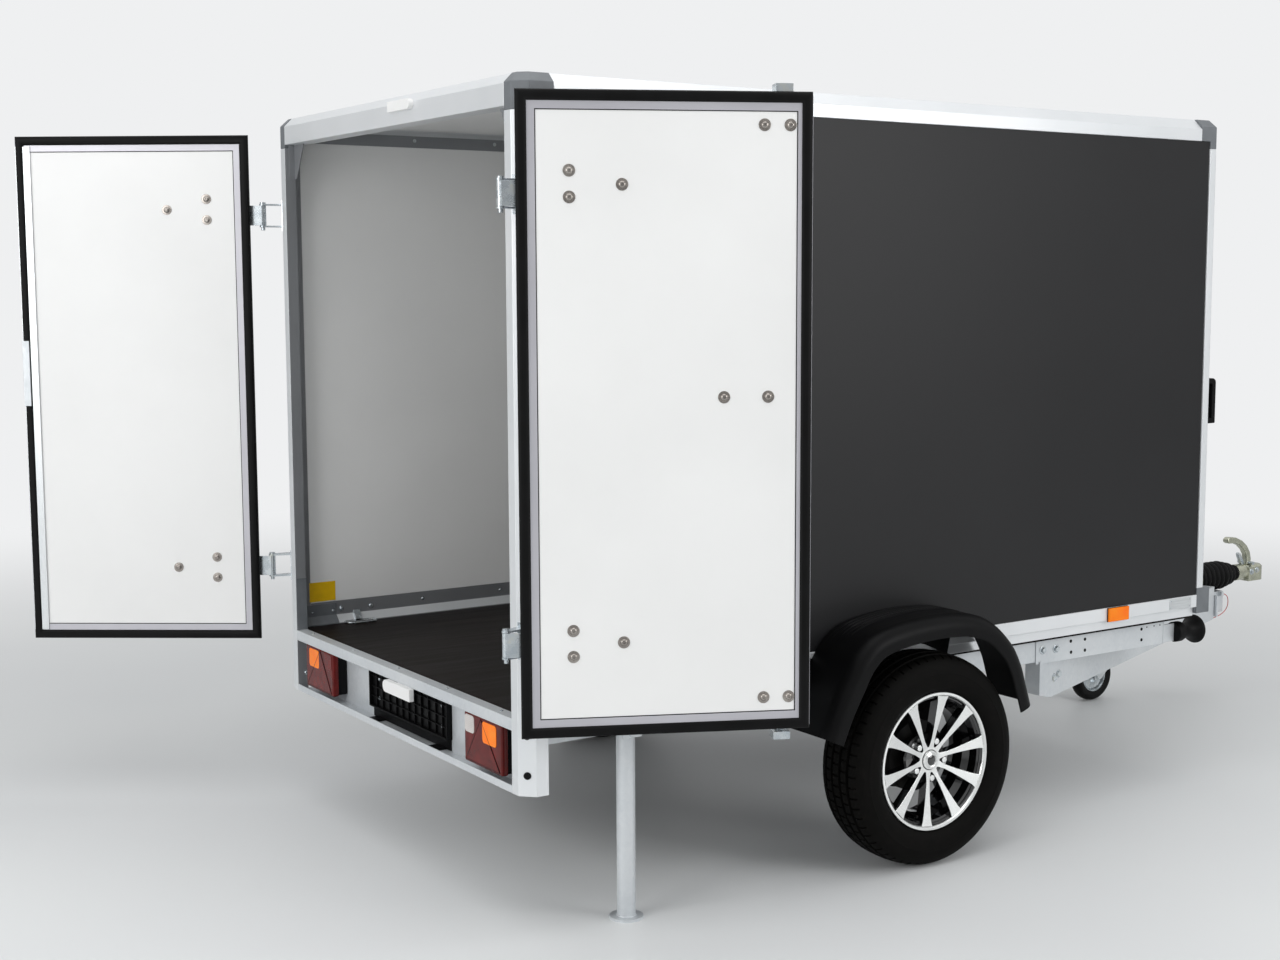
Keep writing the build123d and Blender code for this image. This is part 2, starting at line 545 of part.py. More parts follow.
LAMP_X = 700
LAMP_Z = GROUND + 500
LAMP_ARM = (MEMBER_FRONT + SHEET, REAR + 2560)
LAMP_FRONT = REAR + 2655
LAMP_BASE_RADIUS = 34
LAMP_RADIUS = 48
with BuildPart() as marker_lamps:
    for _, side in SIDES:
        block((side * MEMBER_INNER, side * (MEMBER_OUTER + SHEET)), (MEMBER_FRONT, MEMBER_FRONT + SHEET),
              (LAMP_Z - LAMP_BASE_RADIUS, FLOOR_BOTTOM))
        block((side * (LAMP_X - SHEET), side * (LAMP_X + SHEET)), (LAMP_ARM[0] - 1, LAMP_ARM[1]),
              (LAMP_Z - LAMP_BASE_RADIUS, LAMP_Z + LAMP_BASE_RADIUS))
        with Locations(Plane(origin=(side * LAMP_X, LAMP_ARM[1] - 1, LAMP_Z), z_dir=(0, 1, 0))):
            Cone(LAMP_BASE_RADIUS, LAMP_RADIUS, LAMP_FRONT - LAMP_ARM[1] + 1,
                 align=(Align.CENTER, Align.CENTER, Align.MIN))
save(marker_lamps, "marker_lamps")

GRAB_X = (712, 738)
GRAB_Z = (GROUND + 1200, GROUND + 1350)
GRAB_REACH = 48
GRAB_BAR = 18
GRAB_FILLET = 15
with BuildPart() as grab_handles:
    for _, side in SIDES:
        with BuildSketch(Plane.YZ.offset(side * GRAB_X[0])) as loop:
            with Locations((FRONT + GRAB_REACH / 2, (GRAB_Z[0] + GRAB_Z[1]) / 2)):
                Rectangle(GRAB_REACH, GRAB_Z[1] - GRAB_Z[0])
            fillet(loop.vertices().group_by(Axis.Y)[-1], GRAB_FILLET)
            with Locations(((FRONT + (GRAB_REACH - GRAB_BAR) / 2), (GRAB_Z[0] + GRAB_Z[1]) / 2)):
                Rectangle(GRAB_REACH - GRAB_BAR, GRAB_Z[1] - GRAB_Z[0] - 2 * GRAB_BAR, mode=Mode.SUBTRACT)
        extrude(amount=side * (GRAB_X[1] - GRAB_X[0]))
save(grab_handles, "grab_handles")

# ---------------------------------------------------------------- mudguards
GUARD_INNER = 778
GUARD_OUTER = 967
SKIRT = 57
GUARD_BEND = 60
FLANGE_SHEET = 3
GUARD_LINE = [(REAR + y, GROUND + z) for y, z in ((832, 437), (900, 600), (985, 702), (1185, 731), (1345, 731),
                                                  (1470, 697), (1575, 585), (1628, 432))]
GUARD_FLANGE = ((REAR + 1030, REAR + 1460), (GROUND + 600, GROUND + 700))
GUARD_TAB = ((REAR + 1185, REAR + 1345), (GROUND + 690, GROUND + 730))

for label, side in SIDES:
    with BuildPart() as mudguard:
        for inner, outer, depth in ((GUARD_INNER, GUARD_OUTER, SHEET),
                                    (GUARD_OUTER - SHEET, GUARD_OUTER, SKIRT)):
            with BuildSketch(Plane.YZ.offset(side * inner)):
                with BuildLine():
                    FilletPolyline(*GUARD_LINE, radius=GUARD_BEND)
                    offset(amount=depth, side=Side.RIGHT)
                make_face()
            extrude(amount=side * (outer - inner))
        block((side * HALF_WIDTH, side * (HALF_WIDTH + FLANGE_SHEET)), *GUARD_FLANGE)
        block((side * HALF_WIDTH, side * (GUARD_INNER + 1)), *GUARD_TAB)
    save(mudguard, f"mudguard_{label}")

# ---------------------------------------------------------------- overrun coupling
DRAW_TUBE_RADIUS = 25
DRAW_Z = GROUND + 495
HOUSING_HALF = 44
HOUSING = (REAR + 3330, REAR + 3630)
HOUSING_BOTTOM = GROUND + 355
HOUSING_TOP = DRAW_Z - 57
COLLAR = (REAR + 3330, REAR + 3500)
COLLAR_TOP = GROUND + 548
COLLAR_FILLET = 14
BELLOWS_REAR = COLLAR[1]
BELLOWS_FRONT = REAR + 3745
BELLOWS_RADIUS = 54
CABLE_X = 56
CABLE_RADIUS = 1.5
CABLE_BEND = 20
CABLE_EYE = 14
# the breakaway cable leaves one eye on the housing, hangs in a loop and goes back to the other
CABLE_ROUTE = [(REAR + y, GROUND + z) for y, z in ((3612, 430), (3652, 424), (3642, 350), (3500, 328),
                                                   (3412, 363))]
TIE_HALF = 110
TIE = (BEAM_FRONT[1] + 12, BEAM_FRONT[1] + 20)
with BuildPart() as overrun_housing:
    block((-HOUSING_HALF, HOUSING_HALF), COLLAR, (HOUSING_BOTTOM, COLLAR_TOP))
    fillet(overrun_housing.edges().filter_by(Axis.Y).group_by(Axis.Z)[-1], COLLAR_FILLET)
    block((-HOUSING_HALF, HOUSING_HALF), HOUSING, (HOUSING_BOTTOM, HOUSING_TOP))
    block((-TIE_HALF, TIE_HALF), TIE, (HOUSING_BOTTOM, HOUSING_TOP))
    for y, z in (CABLE_ROUTE[0], CABLE_ROUTE[-1]):
        block((HOUSING_HALF - 1, CABLE_X + CABLE_EYE / 2), (y - CABLE_EYE, y - CABLE_RADIUS / 3),
              (z - CABLE_EYE / 2, z + CABLE_EYE / 2))
save(overrun_housing, "overrun_housing")

with BuildPart() as breakaway_cable:
    with BuildLine(Plane.YZ.offset(CABLE_X)) as route:
        FilletPolyline(*CABLE_ROUTE, radius=CABLE_BEND)
    with BuildSketch(Plane(origin=route.line @ 0, z_dir=route.line % 0)):
        Circle(CABLE_RADIUS)
    sweep(path=route.line)
save(breakaway_cable, "breakaway_cable")

with BuildPart() as bellows:
    rod((0, BELLOWS_REAR, DRAW_Z), (0, BELLOWS_FRONT, DRAW_Z), BELLOWS_RADIUS)
    rod((0, BELLOWS_REAR - 1, DRAW_Z), (0, BELLOWS_FRONT + 1, DRAW_Z), DRAW_TUBE_RADIUS, Mode.SUBTRACT)
save(bellows, "bellows")

BALL_RADIUS = 25.3
HEAD_REAR = -70
HEAD_HALF = 34
HEAD_BOTTOM = -26
HEAD_HEIGHT = 64
HEAD_CHAMFER = 8
NECK_RADIUS = 33
with BuildPart() as coupling_head:
    with BuildSketch(Plane.XY.offset(HEAD_BOTTOM)):
        with Locations((0, HEAD_REAR / 2)):
            Rectangle(2 * HEAD_HALF, -HEAD_REAR)
        Circle(HEAD_HALF)
    extrude(amount=HEAD_HEIGHT)
    chamfer(coupling_head.faces().sort_by(Axis.Z)[-1].edges(), HEAD_CHAMFER)
    rod((0, BELLOWS_REAR, DRAW_Z), (0, HEAD_REAR + 20, DRAW_Z), DRAW_TUBE_RADIUS)
    rod((0, BELLOWS_FRONT, DRAW_Z), (0, HEAD_REAR + 1, DRAW_Z), NECK_RADIUS)
    Sphere(BALL_RADIUS, mode=Mode.SUBTRACT)
    rod((0, 0, HEAD_BOTTOM - 1), (0, 0, 0), BALL_RADIUS, Mode.SUBTRACT)
save(coupling_head, "coupling_head")

HANDLE_HALF = 14
# side view of the handle, as (forward, up) from the ball centre
HANDLE_SIDE = [(-62, 38), (-36, 38), (-34, 64), (-44, 98), (-72, 130), (-120, 156), (-176, 160), (-182, 140),
               (-128, 132), (-92, 110), (-68, 84)]
with BuildPart() as coupling_handle:
    with BuildSketch(Plane.YZ.offset(-HANDLE_HALF)):
        outline(HANDLE_SIDE)
    extrude(amount=2 * HANDLE_HALF)
save(coupling_handle, "coupling_handle")

LEVER_X = 56
LEVER_RADIUS = 9
LEVER_LUG = ((REAR + 3430, REAR + 3480), (MEMBER_BOTTOM + 3, GROUND + 506))
LEVER_PIVOT = (LEVER_X, REAR + 3455, GROUND + 488)
GRIP_START = (LEVER_X, REAR + 3220, GROUND + 548)
GRIP_END = (LEVER_X, REAR + 3120, GROUND + 577)
GRIP_RADIUS = 15
with BuildPart() as handbrake_lever:
    block((HOUSING_HALF, LEVER_X + LEVER_RADIUS), LEVER_LUG[0], LEVER_LUG[1])
    rod(LEVER_PIVOT, GRIP_START, LEVER_RADIUS)
    rod(GRIP_START, GRIP_END, GRIP_RADIUS)
save(handbrake_lever, "handbrake_lever")

# ---------------------------------------------------------------- jockey wheel
JOCKEY_TUBE = 24
JOCKEY_INNER = 20
JOCKEY_Z = GROUND + JOCKEY_RADIUS
TUBE_FOOT, TUBE_HEAD = GROUND + 232, GROUND + 640
BORE_TOP = GROUND + 560
SCREW_RADIUS = 10
CRANK_Z = (GROUND + 665, GROUND + 673)
CRANK_REACH = 110
CRANK_GRIP = (12, GROUND + 760)  # radius, top
with BuildPart() as jockey_tube:
    rod((JOCKEY_X, JOCKEY_Y, TUBE_FOOT), (JOCKEY_X, JOCKEY_Y, TUBE_HEAD), JOCKEY_TUBE)
    rod((JOCKEY_X, JOCKEY_Y, TUBE_FOOT - 1), (JOCKEY_X, JOCKEY_Y, BORE_TOP), JOCKEY_INNER + PIN_CLEARANCE,
        Mode.SUBTRACT)
    rod((JOCKEY_X, JOCKEY_Y, TUBE_HEAD), (JOCKEY_X, JOCKEY_Y, CRANK_Z[0]), SCREW_RADIUS)
    block((JOCKEY_X - SCREW_RADIUS, JOCKEY_X + SCREW_RADIUS),
          (JOCKEY_Y - CRANK_REACH - SCREW_RADIUS, JOCKEY_Y + SCREW_RADIUS + 2), CRANK_Z)
    grip_y = JOCKEY_Y - CRANK_REACH
    rod((JOCKEY_X, grip_y, CRANK_Z[1]), (JOCKEY_X, grip_y, CRANK_GRIP[1]), CRANK_GRIP[0])
save(jockey_tube, "jockey_tube")

CLAMP_RUN = BEAM_LENGTH * (JOCKEY_Y - BEAM_REAR[1]) / BEAM_RUN[1] + 20
CLAMP_Z = (GROUND + 375, GROUND + 445)
# plan of the clamp, as (along the beam, out from its middle)
CLAMP_PLAN = ((-45, BEAM_WIDTH / 2), (45, BEAM_WIDTH / 2), (38, 96), (-38, 96))
with BuildPart() as jockey_clamp:
    with BuildSketch(Plane.XY.offset(CLAMP_Z[0])):
        outline([beam_point(CLAMP_RUN + r, o, -1) for r, o in CLAMP_PLAN])
    extrude(amount=CLAMP_Z[1] - CLAMP_Z[0])
    rod((JOCKEY_X, JOCKEY_Y, CLAMP_Z[0] - 1), (JOCKEY_X, JOCKEY_Y, CLAMP_Z[1] + 1), JOCKEY_TUBE, Mode.SUBTRACT)
save(jockey_clamp, "jockey_clamp")

FORK_CROWN = GROUND + 215
FORK_HALF = 37
FORK_SHEET = 5
AXLE_PIN = 6
JOCKEY_WHEEL_Y = JOCKEY_Y - JOCKEY_TRAIL
CROWN_Y = (JOCKEY_Y - 34, JOCKEY_Y + 26)
# side view of a fork ear, from the crown down to the axle behind it
FORK_EAR = ((CROWN_Y[0], FORK_CROWN + 6), (CROWN_Y[1], FORK_CROWN + 6), (JOCKEY_Y + 20, FORK_CROWN - 20),
            (JOCKEY_WHEEL_Y + 20, JOCKEY_Z - 12), (JOCKEY_WHEEL_Y - 16, JOCKEY_Z - 12),
            (JOCKEY_WHEEL_Y - 16, JOCKEY_Z + 18))
with BuildPart() as jockey_fork:
    rod((JOCKEY_X, JOCKEY_Y, FORK_CROWN), (JOCKEY_X, JOCKEY_Y, BORE_TOP - 10), JOCKEY_INNER)
    block((JOCKEY_X - FORK_HALF, JOCKEY_X + FORK_HALF), CROWN_Y, (FORK_CROWN, FORK_CROWN + 6))
    for ear in (-1, 1):
        with BuildSketch(Plane.YZ.offset(JOCKEY_X + ear * FORK_HALF)):
            outline(FORK_EAR)
        extrude(amount=-ear * FORK_SHEET)
    rod((JOCKEY_X - FORK_HALF - AXLE_PIN, JOCKEY_WHEEL_Y, JOCKEY_Z),
        (JOCKEY_X + FORK_HALF + AXLE_PIN, JOCKEY_WHEEL_Y, JOCKEY_Z), AXLE_PIN)
save(jockey_fork, "jockey_fork")

JOCKEY_HUB_HALF = 27
JOCKEY_HUB_RADIUS = 18
JOCKEY_DISC_HALF = 16
JOCKEY_TREAD_HALF = 25
JOCKEY_TREAD_FILLET = 12
JOCKEY_RIM = 62
with BuildPart() as jockey_rim:
    for half, radius in ((JOCKEY_HUB_HALF, JOCKEY_HUB_RADIUS), (JOCKEY_DISC_HALF, JOCKEY_RIM)):
        rod((JOCKEY_X - half, JOCKEY_WHEEL_Y, JOCKEY_Z), (JOCKEY_X + half, JOCKEY_WHEEL_Y, JOCKEY_Z), radius)
    rod((JOCKEY_X - FORK_HALF, JOCKEY_WHEEL_Y, JOCKEY_Z), (JOCKEY_X + FORK_HALF, JOCKEY_WHEEL_Y, JOCKEY_Z),
        AXLE_PIN + PIN_CLEARANCE, Mode.SUBTRACT)
save(jockey_rim, "jockey_rim")

with BuildPart() as jockey_tyre:
    rod((JOCKEY_X - JOCKEY_TREAD_HALF, JOCKEY_WHEEL_Y, JOCKEY_Z),
        (JOCKEY_X + JOCKEY_TREAD_HALF, JOCKEY_WHEEL_Y, JOCKEY_Z), JOCKEY_RADIUS)
    fillet(jockey_tyre.edges().filter_by(GeomType.CIRCLE), JOCKEY_TREAD_FILLET)
    rod((JOCKEY_X - FORK_HALF, JOCKEY_WHEEL_Y, JOCKEY_Z), (JOCKEY_X + FORK_HALF, JOCKEY_WHEEL_Y, JOCKEY_Z),
        JOCKEY_RIM, Mode.SUBTRACT)
save(jockey_tyre, "jockey_tyre")

# ---------------------------------------------------------------- prop stand
PROP_RADIUS = 25
PROP_PIN = 8
PROP_GAP = 3
BRACKET_SHEET = 5
BRACKET_HALF = 30
BRACKET_LOW = 12
BRACKET_TOP = GROUND + 540
FOOT_RADIUS = 45
FOOT_SHEET = 7
with BuildPart() as prop_bracket:
    y = (PROP_Y - BRACKET_HALF, PROP_Y + BRACKET_HALF)
    outer = PROP_X + PROP_RADIUS + PROP_GAP
    for inner in (MEMBER_OUTER, outer):
        block((inner, inner + BRACKET_SHEET), y, (PROP_PIVOT_Z - BRACKET_LOW, BRACKET_TOP))
    block((MEMBER_OUTER, outer + BRACKET_SHEET), y, (BRACKET_TOP - BRACKET_SHEET, BRACKET_TOP))
    rod((MEMBER_OUTER + BRACKET_SHEET, PROP_Y, PROP_PIVOT_Z),
        (outer + BRACKET_SHEET + 4, PROP_Y, PROP_PIVOT_Z), PROP_PIN)
save(prop_bracket, "prop_bracket")

with BuildPart() as prop_stand:
    rod((PROP_X, PROP_Y, GROUND + 1), (PROP_X, PROP_Y, PROP_PIVOT_Z + BRACKET_LOW), PROP_RADIUS)
    rod((PROP_X, PROP_Y, GROUND), (PROP_X, PROP_Y, GROUND + FOOT_SHEET), FOOT_RADIUS)
    rod((PROP_X - PROP_RADIUS - 1, PROP_Y, PROP_PIVOT_Z), (PROP_X + PROP_RADIUS + 1, PROP_Y, PROP_PIVOT_Z),
        PROP_PIN + PIN_CLEARANCE, Mode.SUBTRACT)
save(prop_stand, "prop_stand")
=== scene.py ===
# %% [markdown]
# A small enclosed cargo trailer, standing with both rear doors open.
# The CAD frame already holds every panel, tube, hinge and wheel at its real size.
# This lesson gives each of them a believable finish, and swaps the plain solids that
# the eye rests on (tyres, rims, lamps, mudguards, bellows) for modelled pieces.

# %% Load the frame
import json
from math import atan2, cos, degrees, hypot, pi, radians, sin, tau

import bpy
from mathutils import Matrix, Vector


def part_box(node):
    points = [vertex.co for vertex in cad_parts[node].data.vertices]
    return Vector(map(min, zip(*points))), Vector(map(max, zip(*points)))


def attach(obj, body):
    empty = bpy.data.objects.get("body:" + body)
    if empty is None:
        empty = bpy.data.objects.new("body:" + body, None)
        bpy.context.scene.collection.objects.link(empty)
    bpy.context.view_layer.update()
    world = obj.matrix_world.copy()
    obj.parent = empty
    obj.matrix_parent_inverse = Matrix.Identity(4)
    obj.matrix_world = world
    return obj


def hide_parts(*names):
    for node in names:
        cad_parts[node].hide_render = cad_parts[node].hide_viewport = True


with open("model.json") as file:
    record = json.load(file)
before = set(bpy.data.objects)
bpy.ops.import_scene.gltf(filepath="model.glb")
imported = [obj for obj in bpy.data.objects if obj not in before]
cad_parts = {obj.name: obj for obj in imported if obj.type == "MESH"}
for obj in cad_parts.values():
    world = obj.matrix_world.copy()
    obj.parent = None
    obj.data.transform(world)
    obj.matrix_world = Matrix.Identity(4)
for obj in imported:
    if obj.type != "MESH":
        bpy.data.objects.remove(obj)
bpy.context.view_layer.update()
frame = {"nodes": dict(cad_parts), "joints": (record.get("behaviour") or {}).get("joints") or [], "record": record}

nodes = frame["nodes"]
joints = {joint["name"]: joint for joint in frame["joints"]}

# %% [markdown]
# Everything is placed from the frame. The floor is the lowest point of the wheels, the
# body runs from the rear posts to the front posts, and the tow ball is the origin.
# Small fittings are placed as a fitter would, by tape from the rear face and the ground.

# %% Key places
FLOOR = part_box("tyre_right")[0].z
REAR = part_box("posts_rear")[0].y
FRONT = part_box("posts_front")[1].y
HALF_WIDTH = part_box("posts_rear")[1].x
LOAD_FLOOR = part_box("floor_panel")[1].z
WALL_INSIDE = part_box("wall_right")[0].x


def at(x, y, z):
    """A point in the frame, taped from the middle, the rear face and the ground."""
    return Vector((x, REAR + y, FLOOR + z))


print("body length", round(FRONT - REAR, 3), "m, load floor at", round(LOAD_FLOOR - FLOOR, 3), "m")

# %% [markdown]
# The camera stands behind the right-hand corner at a grown-up's chest height, far
# enough back for a mild perspective. It comes first, because it decides what shows.

# %% Camera
EYE = at(4.590, -2.156, 1.665)
LENS_MM = 49.6
TURN_LEFT, TILT_DOWN, LEAN = radians(56.66), radians(6.30), radians(-0.235)

bpy.ops.object.camera_add(location=EYE)
camera = bpy.context.object
camera.data.lens = LENS_MM
camera.rotation_euler = (pi / 2 - TILT_DOWN, 0, TURN_LEFT)
camera.rotation_euler.rotate_axis("Z", LEAN)
bpy.context.scene.camera = camera
print("camera at", [round(v, 2) for v in EYE])

# %% [markdown]
# Colours are written as a paint chart gives them, and one function turns them into the
# linear light that a shader wants. One more function adds a shader node with its
# settings and links, so that each material below reads like a recipe.

# %% Colours and shader nodes
def colour(hex_code):
    values = []
    for start in (0, 2, 4):
        part = int(hex_code[start:start + 2], 16) / 255
        values.append(part / 12.92 if part <= 0.04045 else ((part + 0.055) / 1.055) ** 2.4)
    return (*values, 1)


def add(tree, kind, inputs=None, stops=(), **settings):
    """Adds a node. An input that is a node or a socket is linked, and anything else is set."""
    node = tree.nodes.new("ShaderNode" + kind)
    for name, value in settings.items():
        setattr(node, name, value)
    for name, value in (inputs or {}).items():
        if isinstance(value, bpy.types.Node):
            value = value.outputs[0]
        if isinstance(value, bpy.types.NodeSocket):
            tree.links.new(value, node.inputs[name])
        else:
            node.inputs[name].default_value = value
    if stops:
        for position, code in stops[1:-1]:
            node.color_ramp.elements.new(position).color = colour(code)
        for end, (position, code) in ((0, stops[0]), (-1, stops[-1])):
            node.color_ramp.elements[end].position = position
            node.color_ramp.elements[end].color = colour(code)
    return node


def recipe(name):
    """A new material with an empty tree, and its tree."""
    material = bpy.data.materials.new(name)
    material.use_nodes = True
    material.node_tree.nodes.clear()
    return material, material.node_tree


print("white is", [round(v, 3) for v in colour("ffffff")])

# %% [markdown]
# A white photo studio: one pale painted floor, a pale world, and three large softboxes.
# The floor fades into the white room some metres away, so that no horizon shows, and it
# keeps the shadow. Glossy rays see a ceiling brighter than the walls, which gives metal
# and paint their long gradients, while the object is lit at a plain level.

# %% Floor, world and lamps
STAGE_SIZE = 60
LIT, SEEN, ROOM_WHITE = 0.54, 0.92, "f8f9fa"
bpy.ops.mesh.primitive_plane_add(size=STAGE_SIZE, location=(0, 0, FLOOR))
studio_floor = bpy.context.object
studio_floor.name = "studio_floor"
material, tree = recipe("painted_studio_floor")
here = add(tree, "TexCoord").outputs["Object"]
clouds = add(tree, "TexNoise", {"Vector": here, "Scale": 0.6})
paint = add(tree, "ValToRGB", {"Fac": clouds}, stops=[(0.3, "e4e6e7"), (0.7, "eaecec")])
body = add(tree, "BsdfPrincipled", {"Base Color": paint, "Roughness": 0.45, "Specular IOR Level": 0.2})
glow = add(tree, "Emission", {"Color": colour(ROOM_WHITE), "Strength": SEEN})
away = add(tree, "VectorMath", {0: here, 1: (0, REAR + 1.2, 0)}, operation="DISTANCE")
fade = add(tree, "MapRange", {"Value": away.outputs["Value"], "From Min": 2.5, "From Max": 8.0},
           interpolation_type="SMOOTHSTEP")
rays = add(tree, "LightPath")
share = add(tree, "Math", {0: fade, 1: rays.outputs["Is Camera Ray"]}, operation="MULTIPLY")
blend = add(tree, "MixShader", {0: share, 1: body, 2: glow})
add(tree, "OutputMaterial", {"Surface": blend})
studio_floor.data.materials.append(material)

scene = bpy.context.scene
scene.view_settings.view_transform = "Standard"
world = bpy.data.worlds.new("white_room")
scene.world = world
world.use_nodes = True
world.node_tree.nodes.clear()
tree = world.node_tree
rays = add(tree, "LightPath")
seen = add(tree, "Math", {0: rays.outputs["Is Camera Ray"], 1: rays.outputs["Is Transmission Ray"]},
           operation="MAXIMUM")
upward = add(tree, "SeparateXYZ", {0: add(tree, "TexCoord").outputs["Generated"]}).outputs["Z"]
ceiling = add(tree, "MapRange", {"Value": upward, "From Min": -0.1, "From Max": 0.7,
                                 "To Min": 0.35, "To Max": 0.95})
mirrored_room = add(tree, "Mix", {0: rays.outputs["Is Glossy Ray"], 2: LIT, 3: ceiling})
strength = add(tree, "Mix", {0: seen, 2: mirrored_room, 3: SEEN})
room = add(tree, "Background", {"Color": colour(ROOM_WHITE), "Strength": strength})
add(tree, "OutputWorld", {"Surface": room})


def soft_lamp(name, place, aim, size, watts):
    """A large square softbox at one place, aimed at another."""
    bpy.ops.object.light_add(type="AREA", location=place)
    lamp = bpy.context.object
    lamp.name = name
    lamp.data.size = size
    lamp.data.energy = watts
    lamp.rotation_euler = (aim - place).to_track_quat("-Z", "Y").to_euler()


MIDDLE = at(0, 1.2, 1.0)
soft_lamp("overhead_softbox", at(1.0, 0.5, 5.5), MIDDLE, 5.0, 105)
soft_lamp("rear_softbox", at(1.5, -5.5, 2.6), MIDDLE, 3.5, 150)
soft_lamp("side_softbox", at(6.0, 4.0, 2.6), MIDDLE, 3.0, 125)
print("stage: floor, world and three softboxes")

# %% [markdown]
# Every finish starts from what the real thing is made of and how it was made. Each one
# is kept under a short name, with the record's slot that it belongs to, and a pattern's
# scale is one over its size in metres, so 80 draws a feature of 12.5 mm. A wave texture
# repeats every tau / 20 of its scale, so its pitch is set with that factor.

# %% The list of finishes
WAVE = tau / 20
finishes = {}


def keep(short, slot, material):
    """Files a finished material under a short name, with its record slot."""
    finishes[short] = (material, slot)
    print(short, "->", material.name)


# %% [markdown]
# Extruded aluminium, etched and anodised: white for the posts and rails, and a cool grey for
# the door frames. It is satin and very even, and only faint die lines run along the profile,
# so one recipe is repeated with the lines along X, Y or Z. A darker grey copy of the white
# is painted shade, for the inner legs and the gussets inside the load space.

# %% Anodised aluminium, with die lines along one axis
DIE_LINE = 0.0025
ALONG_X, ALONG_Y, ALONG_Z = (0.01, 1, 1), (1, 0.01, 1), (1, 1, 0.01)
# The third pair is painted shade: a darker grey copy of the white, for faces inside the load space.
WHITE, COOL_GREY, PAINTED_SHADE_GREY = ("dadddf", "e4e6e8"), ("b9b8be", "c3c2c8"), ("8b8d90", "96989b")
for short, stretch, (dark, light) in (
        ("anodised_x", ALONG_X, WHITE), ("anodised_y", ALONG_Y, WHITE), ("anodised_z", ALONG_Z, WHITE),
        ("anodised_grey", ALONG_Z, COOL_GREY), ("painted_shade_y", ALONG_Y, PAINTED_SHADE_GREY), ("painted_shade_z", ALONG_Z, PAINTED_SHADE_GREY)):
    material, tree = recipe(short + "_aluminium")
    here = add(tree, "TexCoord").outputs["Object"]
    along = add(tree, "Mapping", {"Vector": here, "Scale": stretch})
    lines = add(tree, "TexNoise", {"Vector": along, "Scale": 1 / DIE_LINE, "Detail": 2})
    clouds = add(tree, "TexNoise", {"Vector": here, "Scale": 3.0, "Detail": 3})
    paint = add(tree, "ValToRGB", {"Fac": clouds}, stops=[(0.3, dark), (0.7, light)])
    shine = add(tree, "MapRange", {"Value": lines, "To Min": 0.34, "To Max": 0.46})
    ridges = add(tree, "Bump", {"Height": lines, "Distance": 0.00008, "Strength": 0.5})
    body = add(tree, "BsdfPrincipled", {"Base Color": paint, "Metallic": 0.45,
                                        "Roughness": shine, "Normal": ridges})
    add(tree, "OutputMaterial", {"Surface": body})
    keep(short, "aluminium", material)

# %% [markdown]
# Hot-dip galvanised steel: the chassis, drawbar, prop stand and light beam. The zinc
# freezes in crystals about a centimetre wide, each a shade lighter or darker than its
# neighbour and each with its own gloss, over slow clouds of white bloom.

# %% Galvanised steel
SPANGLE = 0.011
material, tree = recipe("hot_dip_galvanised_steel")
here = add(tree, "TexCoord").outputs["Object"]
wander = add(tree, "TexNoise", {"Vector": here, "Scale": 90.0, "Detail": 2})
bent = add(tree, "Mix", {0: 0.012, 4: here, 5: wander.outputs["Color"]}, data_type="VECTOR")
crystals = add(tree, "TexVoronoi", {"Vector": bent.outputs[1], "Scale": 1 / SPANGLE})
shade = add(tree, "SeparateColor", {"Color": crystals.outputs["Color"]})
clouds = add(tree, "TexNoise", {"Vector": here, "Scale": 5.0, "Detail": 4, "Roughness": 0.6})
both = add(tree, "Mix", {0: 0.12, 2: clouds, 3: shade.outputs["Red"]})
paint = add(tree, "ValToRGB", {"Fac": both.outputs[0]},
            stops=[(0.25, "c6cbcf"), (0.5, "d0d4d7"), (0.8, "d9dcde")])
shine = add(tree, "MapRange", {"Value": shade.outputs["Green"], "To Min": 0.34, "To Max": 0.52})
ripple = add(tree, "Bump", {"Height": clouds, "Distance": 0.0012, "Strength": 0.15})
body = add(tree, "BsdfPrincipled", {"Base Color": paint, "Metallic": 0.35,
                                    "Roughness": shine, "Normal": ripple})
add(tree, "OutputMaterial", {"Surface": body})
keep("galvanised", "galvanised_steel", material)

# %% [markdown]
# Plated and stainless fittings are much smoother than hot-dip zinc and mirror more, with
# faint brush marks and finger-dulled patches a few centimetres wide. Zinc has a cool
# tint, the coupling's passivation turns it straw green, and stainless bolts are warm.

# %% Bright zinc, passivated zinc and stainless steel
for short, name, dark, middle, light in (
        ("zinc", "bright_zinc_plated_steel", "b4bcc2", "c9cfd2", "d3d3c8"),
        ("passivated", "passivated_zinc_plated_steel", "a9aa9a", "bfc0ae", "cfcdb4"),
        ("stainless", "stainless_steel", "8f8984", "a59f99", "b5b0aa")):
    material, tree = recipe(name)
    here = add(tree, "TexCoord").outputs["Object"]
    patches = add(tree, "TexNoise", {"Vector": here, "Scale": 35.0, "Detail": 4})
    fine = add(tree, "TexNoise", {"Vector": here, "Scale": 900.0, "Detail": 2})
    paint = add(tree, "ValToRGB", {"Fac": patches}, stops=[(0.3, dark), (0.6, middle), (0.8, light)])
    shine = add(tree, "MapRange", {"Value": patches, "To Min": 0.18, "To Max": 0.36})
    grain = add(tree, "Bump", {"Height": fine, "Distance": 0.00006, "Strength": 0.4})
    body = add(tree, "BsdfPrincipled", {"Base Color": paint, "Metallic": 0.95,
                                        "Roughness": shine, "Normal": grain})
    add(tree, "OutputMaterial", {"Surface": body})
    keep(short, "zinc_fitting", material)

# %% [markdown]
# The walls are sandwich boards. Outside is a smooth black skin, semi-matt, whose long
# soft gradient comes from the light and not from paint; an orange-peel a few
# millimetres across breaks it very slightly. Inside is the same skin in white.

